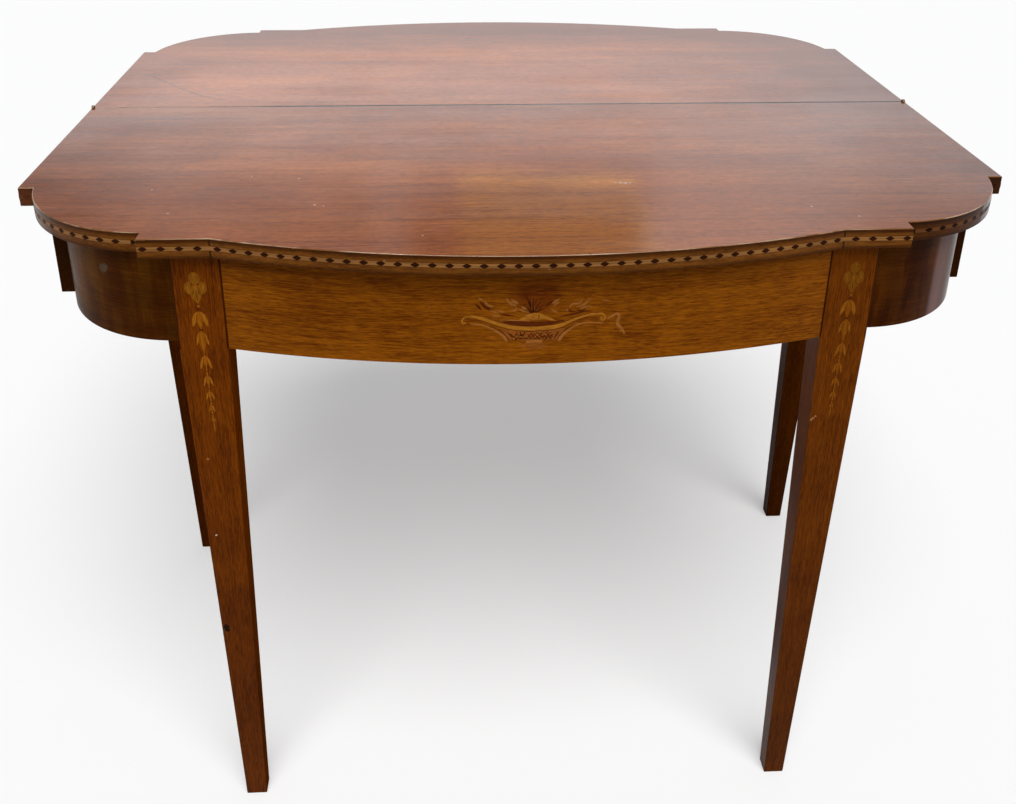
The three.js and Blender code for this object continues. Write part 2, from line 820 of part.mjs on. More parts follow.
function fixedFrame() {
  const frame = new THREE.Group();
  const put = (name, solid, material) => frame.add(meshOf(name, solid, material));
  put("fixed_leaf", fixedLeaf(), topMahogany);
  put("fixed_leaf_banding", leafBand(-1), boxwood);
  put("front_apron", bowApron(), apronMahogany);
  put("basket_inlay", apronInlay(basketShapes(), 0), boxwood);
  put("rim_inlay", apronInlay(rimShapes(), 0), boxwood);
  put("spray_inlay", apronInlay(sprayShapes(), 0), boxwood);
  const backRail = innerRail(backRailBackY, backRailFrontY);
  put("back_rail", withScrewHoles(backRail, ["back_left", "back_right"]), insideWood);
  const crossRail = innerRail(crossRailBackY, crossRailFrontY);
  put("cross_rail", withScrewHoles(crossRail, ["middle_left", "middle_right"]), insideWood);
  for (const [name, side] of Object.entries(sides)) {
    put(`${name}_front_leg`, frontLeg(side), legMahogany);
    put(`${name}_leg_inlay`, huskDrop(side, 0), boxwood);
    put(`${name}_corner_apron`, cornerApron(side), cornerMahogany);
    put(`${name}_side_rail`, sideRail(side), legMahogany);
    put(`${name}_corner_block`, cornerBlock(side), insideWood);
    put(`${name}_leg_block`, withScrewHoles(legBlock(side), [`front_${name}`]), insideWood);
    put(`${name}_fixed_hinge_plate`, hingePlateWithHoles(side, -1), brass);
    put(`${name}_hinge_pin`, hingePin(side), brass);
    hingeScrewShares.forEach((share, i) =>
      put(`${name}_fixed_hinge_screw_${i + 1}`, hingeScrew(side, -1, share, 0), brass),
    );
  }
  for (const [name, place] of Object.entries(topScrewPlaces)) {
    put(`top_screw_${name}`, topScrew(place, 0), steel);
  }
  return frame;
}

function foldingTop() {
  const leaf = new THREE.Group();
  const put = (name, solid, material) => leaf.add(meshOf(name, solid, material));
  put("folding_leaf", foldingLeaf(), topMahogany);
  put("folding_leaf_banding", leafBand(1), boxwood);
  for (const [name, place] of Object.entries(tonguePlaces)) {
    put(`${name}_tongue`, tongue(place, 0), insideWood);
  }
  for (const [name, side] of Object.entries(sides)) {
    put(`${name}_folding_hinge_plate`, hingePlateWithHoles(side, 1), brass);
    hingeScrewShares.forEach((share, i) =>
      put(`${name}_folding_hinge_screw_${i + 1}`, hingeScrew(side, 1, share, 0), brass),
    );
  }
  return leaf;
}

// A rear leg with its runner and peg, made in the pushed-in place and drawn out by its group
function rearLegUnit(name, side, draw) {
  const unit = new THREE.Group();
  unit.add(meshOf(`${name}_rear_leg`, rearLeg(side), legMahogany));
  unit.add(meshOf(`${name}_runner`, runner(side), insideWood));
  unit.add(meshOf(`${name}_stop_peg`, stopPeg(side, 0), insideWood));
  unit.position.y = draw;
  return unit;
}

table.add(fixedFrame());
table.add(foldingTop());
table.add(rearLegUnit("left", sides.left, leftLegDraw));
table.add(rearLegUnit("right", sides.right, rightLegDraw));

export default table;
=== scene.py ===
import math
from functools import partial

import bmesh
import bpy
import numpy as np
from mathutils import Matrix, Vector


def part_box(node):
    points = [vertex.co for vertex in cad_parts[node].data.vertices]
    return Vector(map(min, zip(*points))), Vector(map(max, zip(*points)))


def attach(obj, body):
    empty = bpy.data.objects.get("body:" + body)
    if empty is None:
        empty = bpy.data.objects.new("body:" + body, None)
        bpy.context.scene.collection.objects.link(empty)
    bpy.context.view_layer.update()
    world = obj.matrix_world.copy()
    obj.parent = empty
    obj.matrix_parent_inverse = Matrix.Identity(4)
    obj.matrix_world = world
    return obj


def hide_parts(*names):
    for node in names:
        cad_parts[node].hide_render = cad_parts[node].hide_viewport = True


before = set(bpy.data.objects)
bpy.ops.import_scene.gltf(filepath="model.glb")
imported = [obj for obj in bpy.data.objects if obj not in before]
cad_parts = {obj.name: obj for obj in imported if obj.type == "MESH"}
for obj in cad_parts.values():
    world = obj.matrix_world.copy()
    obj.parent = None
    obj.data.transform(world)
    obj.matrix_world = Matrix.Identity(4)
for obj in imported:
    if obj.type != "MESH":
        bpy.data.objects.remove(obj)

bl_info = {
    "name": "Folding Top Table",
    "version": (1, 0, 0),
    "blender": (4, 5, 0),
    "location": "3D View > Sidebar > Folding Table",
    "description": "Dresses the solids of a folding top table in polished wood, banding and inlay",
    "category": "Add Mesh",
}

MM = 0.001
WARM = (1.0, 0.6, 0.25)
WHITE = (1.0, 1.0, 1.0)
SIDES = {"left": -1, "right": 1}
# A leaf's node and body, by its way from the joint: -1 to the front and 1 to the back
LEAVES = {-1: ("fixed_leaf", "frame"), 1: ("folding_leaf", "folding leaf")}

# Places read from the solids, in metres
leaf_low, leaf_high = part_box("fixed_leaf")
band_low, band_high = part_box("fixed_leaf_banding")
apron_low, apron_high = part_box("front_apron")
leg_low, leg_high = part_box("right_front_leg")
HALF_WIDTH, LEAF_DEPTH = leaf_high.x, -leaf_low.y
LEAF_BOTTOM, TOP_Z = leaf_low.z, leaf_high.z
BAND_LOW, BAND_HIGH, BAND_START = band_low.z, band_high.z, -band_high.y
BAND_MIDDLE, BAND_HALF = (BAND_LOW + BAND_HIGH) / 2, (BAND_HIGH - BAND_LOW) / 2
APRON_BOTTOM, FRAME_TOP = apron_low.z, apron_high.z
LEG_FACE_Y, LEG_BACK_Y = leg_low.y, leg_high.y
LEG_INNER_X, LEG_OUTER_X = leg_low.x, leg_high.x
SEAM = 0.3 * MM
BOW_END_X = LEG_INNER_X - SEAM


# Settings
def length(name, description, default, low, high):
    """A length, whose default and limits are given in millimetres."""
    return bpy.props.FloatProperty(
        name=name, description=description, default=default * MM, min=low * MM, max=high * MM, unit="LENGTH"
    )


def number(name, description, default, high, low=0.0, subtype="NONE"):
    return bpy.props.FloatProperty(
        name=name, description=description, default=default, min=low, max=high, subtype=subtype
    )


def paint(name, description, default):
    return bpy.props.FloatVectorProperty(
        name=name, description=description, subtype="COLOR", size=3, min=0.0, max=1.0, default=default
    )


class TableShape(bpy.types.PropertyGroup):
    """Sizes of the top, the aprons and the legs; all but the arris are those of the solids"""

    bow_rise: length("Bow rise", "How far each leaf's front curve stands out past its breaks", 49, 10, 100)
    break_width: length("Break width", "Length of the straight edge over each front leg", 68, 20, 150)
    step: length("Step", "Depth of the steps at both ends of each rounded corner", 16, 5, 40)
    corner_span: length("Corner span", "Width across a leaf's rounded corner", 137, 50, 250)
    corner_rise: length("Corner rise", "How far a rounded corner stands out", 31.5, 10, 80)
    side_run: length("Side run", "Length of a leaf's straight end from the joint", 274, 100, 400)
    joint_gap: length("Joint gap", "Gap between the two leaves", 0.3, 0, 2)
    arris: length("Arris", "Rounding of the edges that hands have worn", 0.8, 0.1, 4)
    apron_rise: length("Apron rise", "How far the front apron bows out past the legs", 41.5, 10, 80)
    apron_thickness: length("Apron thickness", "Thickness of the front apron", 22, 10, 40)
    corner_apron_rise: length("Corner apron rise", "How far a corner apron stands out", 33.5, 10, 80)
    corner_apron_thickness: length("Corner apron thickness", "Thickness of a corner apron", 20, 10, 40)
    outer_taper: length("Outer taper", "How far a leg's outer side moves in at the foot", 14, 0, 20)
    inner_taper: length("Inner taper", "How far a leg's inner side moves in at the foot", 10, 0, 20)
    depth_taper: length("Depth taper", "How far the side towards the frame moves in", 18, 0, 30)


class TableInlay(bpy.types.PropertyGroup):
    """Sizes of the banding and inlay"""

    proud: length("Proud", "How far banding and inlay stand out of the wood around them", 0.08, 0, 1)
    lozenge_length: length("Lozenge length", "Length of each dark lozenge in the banding", 8.8, 2, 20)
    lozenge_height: length("Lozenge height", "Height of each dark lozenge in the banding", 4.6, 1, 10)
    lozenge_pitch: length("Lozenge pitch", "Distance from one lozenge to the next", 16, 10, 50)
    break_shift: length("Break shift", "How far the lozenges over a leg sit outwards", 3, 0, 8)
    stringing: length("Stringing", "Height of the dark line above and below the banding", 0.35, 0, 2)
    drop_scale: number("Leg inlay width", "Share of the leg inlay's drawn width", 1.0, 1.4, 0.5, "FACTOR")


class TableColours(bpy.types.PropertyGroup):
    """Colours of the woods, the inlay and the metal"""

    top_light: paint("Top, light", "Lighter grain of the polished leaves", (0.40, 0.108, 0.017))
    top_dark: paint("Top, dark", "Darker grain of the polished leaves", (0.20, 0.047, 0.008))
    edge_light: paint("Edge, light", "Lighter grain of the leaf edges", (0.19, 0.064, 0.008))
    edge_dark: paint("Edge, dark", "Darker grain of the leaf edges", (0.080, 0.022, 0.003))
    # Bare worn wood on the arrises, painted paler still as their highlight
    arris_worn_and_lit: paint("Arris, worn and highlighted", "Bare wood along the worn arrises, paled further as painted highlight", (0.48, 0.31, 0.19))
    apron_light: paint("Front, light", "Lighter grain of the front apron", (0.285, 0.083, 0.0027))
    apron_dark: paint("Front, dark", "Darker grain of the front apron", (0.110, 0.024, 0.0009))
    leg_light: paint("Leg, light", "Lighter grain of the legs and side rails", (0.190, 0.046, 0.0014))
    leg_dark: paint("Leg, dark", "Darker grain of the legs and side rails", (0.065, 0.013, 0.0006))
    corner_light: paint("Corner, light", "Lighter grain of the corner aprons", (0.105, 0.028, 0.0018))
    corner_dark: paint("Corner, dark", "Darker grain of the corner aprons", (0.040, 0.009, 0.0006))
    pale_inlay: paint("Pale inlay", "Boxwood in the banding", (0.27, 0.118, 0.034))
    gold_inlay: paint("Golden inlay", "The basket's rim", (0.36, 0.132, 0.012))
    tan_inlay: paint("Tan inlay", "Struts, leaves and ribbon", (0.30, 0.105, 0.018))
    amber_inlay: paint("Amber inlay", "Middles of the husks", (0.266, 0.078, 0.003))
    petal_inlay: paint("Petals", "Petals of the husks", (0.31, 0.103, 0.007))
    rosette_inlay: paint("Rosette", "Rosettes on the legs", (0.215, 0.074, 0.0045))
    body_inlay: paint("Basketwork", "The basket's body and foot", (0.235, 0.068, 0.009))
    dark_inlay: paint("Dark inlay", "Lozenges and dark strokes", (0.026, 0.006, 0.002))
    red_inlay: paint("Red inlay", "Red-brown strokes over the basket", (0.088, 0.016, 0.002))
    inside_light: paint("Inside, light", "Lighter grain of the unpolished timber", (0.30, 0.16, 0.07))
    inside_dark: paint("Inside, dark", "Darker grain of the unpolished timber", (0.17, 0.08, 0.03))
    brass: paint("Brass", "Hinges and their screws", (0.34, 0.21, 0.10))
    steel: paint("Steel", "Screws under the top", (0.22, 0.22, 0.23))


class TableStage(bpy.types.PropertyGroup):
    """Floor, lights and camera"""

    floor_colour: paint("Floor", "Colour of the pale floor", (0.62, 0.62, 0.62))
    floor_glow: number("Floor glow", "Light that lifts the floor's shadows", 0.33, 2.0)
    room_colour: paint("Room colour", "Tint of the soft room light", (0.96, 0.97, 1.0))
    room_low: number("Room, low", "Brightness behind the table near the horizon", 0.95, 5.0)
    room_high: number("Room, high", "Brightness behind the table overhead", 0.23, 5.0)
    room_front: number("Room, front", "Brightness of the room before the table", 0.2, 5.0)
    key_strength: number("Key strength", "Strength of the wide soft light overhead", 2.9, 20.0)
    key_spread: number("Key spread", "How wide the soft light is", 0.75, 3.0, subtype="ANGLE")
    lens: number("Lens", "Focal length on a 36 mm sensor", 38.887, 200.0, 10.0)


def shape():
    return bpy.context.scene.table_shape


def inlay_sizes():
    return bpy.context.scene.table_inlay


def colours():
    return bpy.context.scene.table_colours


# Plan outlines
BOW_STEPS = 120
CORNER_STEPS = 40
CORNER_APRON_STEPS = 48


def circle_through(start, end, rise):
    """Centre and radius of the circle whose arc from start to end rises to the right of travel."""
    start, end = np.array(start, float), np.array(end, float)
    chord = end - start
    half = np.linalg.norm(chord) / 2
    radius = (half * half + rise * rise) / (2 * rise)
    outward = np.array([chord[1], -chord[0]]) / (2 * half)
    return (start + end) / 2 + outward * (rise - radius), radius


def round_part(centre, radius, first, last, steps):
    """Points of a circle from one angle to another."""
    angles = np.linspace(first, last, steps + 1)
    return [(centre[0] + radius * math.cos(a), centre[1] + radius * math.sin(a)) for a in angles]


def arc(start, end, rise, steps):
    centre, radius = circle_through(start, end, rise)
    first, last = (math.atan2(y - centre[1], x - centre[0]) for x, y in (start, end))
    return round_part(centre, radius, first, last, steps)


def mirrored(points):
    return [(-x, y) for x, y in reversed(points)]


def leaf_runs(start):
    """A leaf's edge as separate runs from its right end to its left, measured away from the joint."""
    sizes = shape()
    break_y = LEAF_DEPTH - sizes.bow_rise
    outer_x = HALF_WIDTH - sizes.step - sizes.corner_span
    inner_x = outer_x - sizes.break_width
    side = (HALF_WIDTH, sizes.side_run)
    corner_back = (HALF_WIDTH - sizes.step, sizes.side_run)
    corner_front = (outer_x, break_y - sizes.step)
    right = [
        [(HALF_WIDTH, start), side],
        [side, corner_back],
        arc(corner_back, corner_front, sizes.corner_rise, CORNER_STEPS),
        [corner_front, (outer_x, break_y)],
        [(outer_x, break_y), (inner_x, break_y)],
    ]
    bow = arc((inner_x, break_y), (-inner_x, break_y), sizes.bow_rise, BOW_STEPS)
    return right + [bow] + [mirrored(run) for run in reversed(right)]


def joined(runs):
    points = [runs[0][0]]
    for run in runs:
        points += run[1:]
    return points


def distances(points):
    """How far along a line each of its points is."""
    return np.concatenate([[0.0], np.cumsum([math.dist(a, b) for a, b in zip(points, points[1:])])])


def moved_in(points, distance):
    """An open edge moved inwards, to the left of travel, with mitred corners."""
    p = np.array(points, float)
    along = np.diff(p, axis=0)
    along /= np.linalg.norm(along, axis=1)[:, None]
    normal = np.stack([-along[:, 1], along[:, 0]], axis=1)
    before = np.vstack([normal[:1], normal])
    after = np.vstack([normal, normal[-1:]])
    mitre = (before + after) / (1 + np.sum(before * after, axis=1))[:, None]
    return [tuple(q) for q in p + mitre * distance]


def facing(points, way):
    """Points of a leaf, measured away from the joint, in the table's own frame."""
    return [(x, way * y) for x, y in points]


def bow():
    """Ends and rise of the front apron's face, measured away from the joint."""
    return (BOW_END_X, -LEG_FACE_Y), (-BOW_END_X, -LEG_FACE_Y), shape().apron_rise


def bow_curve(set_in=0.0):
    """The front apron's face from its right end to its left, in the table's own frame."""
    return [(x, set_in - y) for x, y in arc(*bow(), BOW_STEPS)]


def bow_face_y(x):
    """Where the front apron's face is at a place across it."""
    centre, radius = circle_through(*bow())
    return -(centre[1] + math.sqrt(radius * radius - (x - centre[0]) ** 2))


# Meshes
def linked(name, data):
    """An object in the scene for a mesh, light or camera."""
    made = bpy.data.objects.new(name, data)
    bpy.context.scene.collection.objects.link(made)
    return made


def mesh_object(name, vertices, faces, uvs=None, edges=(), **values):
    """An object at the origin. uvs are pairs for each face's corners; values are numbers for each vertex."""
    mesh = bpy.data.meshes.new(name)
    mesh.from_pydata([tuple(v) for v in vertices], list(edges), faces)
    if uvs is not None:
        layer = mesh.uv_layers.new(name="grain")
        layer.data.foreach_set("uv", [c for face in uvs for pair in face for c in pair])
    for key, row in values.items():
        mesh.attributes.new(key, "FLOAT", "POINT").data.foreach_set("value", row)
    mesh.validate()
    return linked(name, mesh)


def outward_faces(piece):
    shell = bmesh.new()
    shell.from_mesh(piece.data)
    bmesh.ops.recalc_face_normals(shell, faces=shell.faces[:])
    shell.to_mesh(piece.data)
    shell.free()


def tube(sections, corners, first=0):
    """Faces of a closed tube of sections, whose vertices follow one another from the first."""
    end = first + corners * (sections - 1)
    faces = [tuple(reversed(range(first, first + corners))), tuple(range(end, end + corners))]
    for start in range(first, end, corners):
        for k in range(corners):
            a, b = start + k, start + (k + 1) % corners
            faces.append((a, b, b + corners, a + corners))
    return faces


def prism(name, ring, low, high):
    """A closed upright prism. Its sides carry a map along the outline and up; its caps a plain one."""
    area = sum(a[0] * b[1] - b[0] * a[1] for a, b in zip(ring, ring[1:] + ring[:1]))
    if area < 0:
        ring = ring[::-1]
    vertices = [(x, y, z) for z in (low, high) for x, y in ring]
    run = distances(ring + ring[:1])
    sides = [[(a, low), (b, low), (b, high), (a, high)] for a, b in zip(run, run[1:])]
    return mesh_object(name, vertices, tube(2, len(ring)), [ring[::-1], ring, *sides])


def add_bevel(piece, name, width, segments, limit):
    bevel = piece.modifiers.new(name, "BEVEL")
    bevel.width, bevel.segments, bevel.limit_method = width, segments, limit
    bevel.harden_normals = True
    return bevel


def wear_top_arris(piece, width, slot):
    """Rounds the edges of a piece's upper face and gives the rounding a material slot."""
    mesh = piece.data
    level = max(v.co.z for v in mesh.vertices) - 0.001 * MM
    weights = [float(all(mesh.vertices[i].co.z > level for i in edge.vertices)) for edge in mesh.edges]
    mesh.attributes.new("bevel_weight_edge", "FLOAT", "EDGE").data.foreach_set("value", weights)
    add_bevel(piece, "Worn top arris", width, 4, "WEIGHT").material = slot


def tie(piece, body, nodes):
    """Gives a piece its body, and hides the solids that it stands for."""
    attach(piece, body)
    if nodes:
        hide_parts(*nodes)


def finish_piece(piece, body, materials, nodes, arris=None):
    """Sets the materials, rounds the arrises and ties the piece to its body."""
    for material in materials:
        piece.data.materials.append(material)
    for polygon in piece.data.polygons:
        polygon.use_smooth = True
    piece.data.set_sharp_from_angle(angle=math.radians(30))
    if arris:
        add_bevel(piece, "Rounded arrises", arris, 2, "ANGLE").angle_limit = math.radians(40)
    tie(piece, body, nodes)


# Tints that age the wood, and tints that paint shade, light and reflections onto it, as shares of its red,
# green and blue
IN_PORES = (0.45, 0.32, 0.26)
IN_PATCHES = (1.3, 1.42, 1.4)
TOWARDS_ENDS = (0.40, 0.34, 0.5)
IN_DARK_LINES = (0.50, 0.42, 0.42)
# Painted reflection: the golden patch on the front of the fixed leaf
REFLECTED_GOLD = (1.15, 1.40, 1.0)
BESIDE_BANDING = (0.36, 0.27, 0.2)
ROUND_THE_CORNER = (0.42, 0.34, 0.30)
# Painted shade under the top's overhang
PAINTED_OVERHANG_SHADE = (0.42, 0.33, 0.3)
ROUND_THE_SPRAY = (0.60, 0.42, 1.0)
# Painted shade towards the feet of the legs
SHADE_TOWARDS_FOOT = (0.66, 0.62, 0.55)
# Painted light: the legs are paler towards the left of the table
LIGHT_TOWARDS_LEFT = (1.18, 1.12, 1.0)
IN_MOTTLES = (0.55, 0.42, 0.42)
# Bleached mottles, and a painted sheen on the left corner's outer part
BLEACHED_AND_SHEEN = (1.45, 1.95, 1.9)
SCORCHED = (0.42, 0.27, 0.16)
# Colours of what age has left in or on the wood, and of a painted reflection
FINE_NICKS = (0.55, 0.42, 0.30)
CRACKED = (0.03, 0.012, 0.008)
GRIME = (0.012, 0.006, 0.005)
EDGE_JOINT = (0.01, 0.004, 0.002)
OLD_GLUE = (0.022, 0.004, 0.001)
# Painted reflection: a pale upright stripe on the right-hand corner apron
PAINTED_REFLECTION = (0.25, 0.145, 0.14)
RED_STEPS = {-1: (0.080, 0.022, 0.010), 1: (0.035, 0.009, 0.004)}


# Node trees
class Value:
    """The output of a node. Sums of these, and of these and numbers, add the nodes that work them out."""

    def __init__(self, tree, socket):
        self.tree, self.socket = tree, socket

    def maths(self, operation, *others):
        return self.tree.value("ShaderNodeMath", dict(enumerate((self, *others))), operation=operation)

    def __add__(self, other):
        return self.maths("ADD", other)

    def __sub__(self, other):
        return self.maths("SUBTRACT", other)

    def __rsub__(self, other):
        return self.maths("MULTIPLY_ADD", -1.0, other)

    def __mul__(self, other):
        return self.maths("MULTIPLY", other)

    def __truediv__(self, other):
        return self.maths("DIVIDE", other)

    def __abs__(self):
        return self.maths("ABSOLUTE")

    def ranged(self, low, high, to_low=0.0, to_high=1.0):
        """Eases from one result to the other as the value goes from low to high."""
        inputs = {"Value": self, "From Min": low, "From Max": high, "To Min": to_low, "To Max": to_high}
        return self.tree.value("ShaderNodeMapRange", inputs, interpolation_type="SMOOTHSTEP")


class Tree:
    """Adds nodes to a node tree. What goes into them is a number, a row of numbers or a Value."""

    def __init__(self, base):
        self.base = base

    def fill(self, made, inputs):
        for key, value in inputs.items():
            socket = made.inputs[key]
            if isinstance(value, Value):
                self.base.links.new(value.socket, socket)
            else:
                socket.default_value = (*value, 1.0) if socket.type == "RGBA" else value

    def node(self, kind, inputs, **settings):
        made = self.base.nodes.new(kind)
        for key, value in settings.items():
            setattr(made, key, value)
        self.fill(made, inputs)
        return made

    def value(self, kind, inputs=None, output=0, **settings):
        return Value(self, self.node(kind, inputs or {}, **settings).outputs[output])

    def group(self, base, **inputs):
        """All outputs of a node group."""
        made = self.node("ShaderNodeGroup", inputs, node_tree=base)
        return [Value(self, socket) for socket in made.outputs]

    def mixed(self, factor, a, b, blend="MIX"):
        inputs = {0: factor, 6: a, 7: b}
        return Value(self, self.node("ShaderNodeMix", inputs, data_type="RGBA", blend_type=blend).outputs[2])

    def tinted(self, mask, colour, tint):
        """A colour multiplied by a tint as far as the mask says."""
        return self.mixed(mask, colour, tint, "MULTIPLY")

    def noise(self, vector, seed, scale, detail, roughness=0.55):
        placed = self.value("ShaderNodeMapping", {"Vector": vector, "Location": seed, "Scale": scale})
        inputs = {"Vector": placed, "Scale": 1.0, "Detail": detail, "Roughness": roughness}
        return self.value("ShaderNodeTexNoise", inputs)

    def place(self):
        """The place on the object, in metres."""
        return self.value("ShaderNodeTexCoord", output="Object")

    def grain_map(self):
        return self.value("ShaderNodeUVMap", uv_map="grain")

    def axes(self, vector):
        return [Value(self, socket) for socket in self.node("ShaderNodeSeparateXYZ", {0: vector}).outputs]

    @property
    def across(self):
        return self.axes(self.place())[0]

    @property
    def along(self):
        return self.axes(self.place())[1]

    @property
    def up(self):
        return self.axes(self.place())[2]

    def combined(self, *values):
        return self.value("ShaderNodeCombineXYZ", dict(enumerate(values)))


def once(store):
    """Makes a builder run only where store has nothing yet of the name that is its first argument."""

    def wrap(build):
        def find(name, *details, **more):
            return getattr(bpy.data, store).get(name) or build(name, *details, **more)

        return find

    return wrap


def new_group(name, kind, inputs, outputs):
    """A tree for a node group, with its inputs by name and the node that takes its outputs."""
    base = bpy.data.node_groups.new(name, kind)
    for direction, sockets in (("INPUT", inputs), ("OUTPUT", outputs)):
        for label, content in sockets.items():
            base.interface.new_socket(name=label, in_out=direction, socket_type=f"NodeSocket{content}")
    tree = Tree(base)
    start, end = base.nodes.new("NodeGroupInput"), base.nodes.new("NodeGroupOutput")
    return tree, {label: Value(tree, start.outputs[label]) for label in inputs}, end


@once("node_groups")
def wood_grain(name):
    """Fibres, streaks, bands and pores of wood whose grain runs along the first axis of a vector."""
    inputs = {"Vector": "Vector", "Seed": "Vector", "Light": "Color", "Dark": "Color"}
    inputs.update(dict.fromkeys(("Bands", "Streaks", "Fibres", "Mottle", "Pores"), "Float"))
    tree, given, out = new_group(name, "ShaderNodeTree", inputs, {"Color": "Color", "Height": "Float"})
    shifted = tree.value("ShaderNodeVectorMath", {0: given["Vector"], 1: given["Seed"]}, operation="ADD")
    sway = (tree.noise(shifted, (0, 0, 0), (3, 6, 6), 1) - 0.5) * 0.02
    swayed = {0: shifted, 1: tree.combined(0.0, sway, sway)}
    grain = tree.value("ShaderNodeVectorMath", swayed, operation="ADD")
    mottle = tree.noise(shifted, (3.1, 0.7, 0.2), (16, 9, 9), 2)
    bands = tree.noise(grain, (1.7, 4.4, 0.9), (1.1, 42, 42), 4, 0.65)
    streaks = tree.noise(grain, (0.3, 2.1, 5.2), (11, 420, 420), 3, 0.65)
    fibres = tree.noise(grain, (8.2, 1.4, 3.3), (70, 1100, 1100), 2, 0.65)
    pores = tree.noise(grain, (6.6, 9.1, 2.7), (95, 2300, 2300), 1)
    tone = 0.5
    for layer, label in ((mottle, "Mottle"), (bands, "Bands"), (streaks, "Streaks"), (fibres, "Fibres")):
        tone = (layer.ranged(0.3, 0.7) - 0.5) * given[label] + tone
    pitted = pores.ranged(0.56, 0.66) * given["Pores"]
    colour = tree.tinted(pitted, tree.mixed(tone, given["Dark"], given["Light"]), IN_PORES)
    tree.fill(out, {"Color": colour, "Height": fibres * 0.4 - pitted})
    return tree.base


@once("node_groups")
def polish_wear(name):
    """An old polish: a roughness with duller patches, and a mask of sparse small nicks."""
    tree, given, out = new_group(
        name, "ShaderNodeTree",
        {"Vector": "Vector", "Clean": "Float", "Dull": "Float", "Nicks": "Float"},
        {"Roughness": "Float", "Nicks": "Float"},
    )
    vector = given["Vector"]
    haze = tree.noise(vector, (0.4, 0.1, 0.8), (6, 6, 6), 4, 0.6)
    smear = tree.noise(vector, (2.4, 1.1, 0.3), (3, 40, 40), 2)
    dull = (smear * 0.4 + haze * 0.6).ranged(0.4, 0.62)
    rough = dull * (given["Dull"] - given["Clean"]) + given["Clean"]
    turned = tree.value("ShaderNodeMapping", {"Vector": vector, "Rotation": (0, 0, 0.7)})
    dashes = tree.noise(turned, (2, 2, 0), (150, 420, 420), 0)
    patches = tree.noise(vector, (5, 1, 4), (14, 14, 14), 1)
    nicks = dashes.ranged(0.80, 0.84) * patches.ranged(0.56, 0.62) * given["Nicks"]
    tree.fill(out, {"Roughness": nicks * 0.3 + rough, "Nicks": nicks})
    return tree.base


@once("node_groups")
def small_mark(name):
    """A soft round mark with a ragged edge, at one place of the object's own coordinates."""
    tree, given, out = new_group(
        name, "ShaderNodeTree", {"Vector": "Vector", "Place": "Vector", "Radius": "Float"}, {"Mask": "Float"}
    )
    ragged = tree.value("ShaderNodeTexNoise", {"Vector": given["Vector"], "Scale": 700, "Detail": 2})
    away = tree.value(
        "ShaderNodeVectorMath", {0: given["Vector"], 1: given["Place"]}, "Value", operation="DISTANCE"
    )
    tree.fill(out, {"Mask": ((ragged - 0.5) * 1.6 + away / given["Radius"]).ranged(1.0, 0.7)})
    return tree.base


def new_material(name):
    material = bpy.data.materials.new(name)
    material.use_nodes = True
    return material, Tree(material.node_tree), material.node_tree.nodes["Principled BSDF"]


def scaled(tone, share):
    """A colour made lighter or darker."""
    return [min(1.0, v * share) for v in tone]


def grain_of(wood, share=1.0):
    """The lighter and the darker colour of a wood, both scaled by a share."""
    return [scaled(getattr(colours(), f"{wood}_{tone}"), share) for tone in ("light", "dark")]


def grain_vector(tree, source):
    """The vector whose first axis runs along the grain: a map, or one of the object's own axes."""
    if source == "map":
        return tree.grain_map()
    if source == "x":
        return tree.place()
    x, y, z = tree.axes(tree.place())
    return tree.combined(y, x, z) if source == "y" else tree.combined(z, x, y)


@once("materials")
def polished_wood(
    name, grain, source, seed=(0, 0, 0), bands=0.5, streaks=0.5, fibres=0.5, mottle=0.2, pores=0.5,
    clean=0.2, dull=0.4, nicks=0.0, specular=0.25, tint=WARM, marks=(), bump=0.12, change=None,
):
    """A wood material. marks are places, radii and colours; change alters the colour before it is used."""
    material, tree, shader = new_material(name)
    vector = grain_vector(tree, source)
    colour, height = tree.group(
        wood_grain("Wood grain"), Vector=vector, Seed=seed, Light=grain[0], Dark=grain[1], Bands=bands,
        Streaks=streaks, Fibres=fibres, Mottle=mottle, Pores=pores,
    )
    rough, nicked = tree.group(polish_wear("Polish wear"), Vector=vector, Clean=clean, Dull=dull, Nicks=nicks)
    colour = tree.mixed(nicked, colour, FINE_NICKS)
    if change:
        colour = change(tree, colour)
    for spot, radius, tone in marks:
        mark = tree.group(small_mark("Small mark"), Vector=tree.place(), Place=spot, Radius=radius)[0]
        colour = tree.mixed(mark, colour, tone)
    relief = {"Height": height * 0.5 - nicked * 0.6, "Strength": bump, "Distance": 0.2 * MM}
    tree.fill(shader, {
        "Base Color": colour, "Roughness": rough, "Normal": tree.value("ShaderNodeBump", relief),
        "Specular IOR Level": specular, "Specular Tint": tint,
    })
    return material


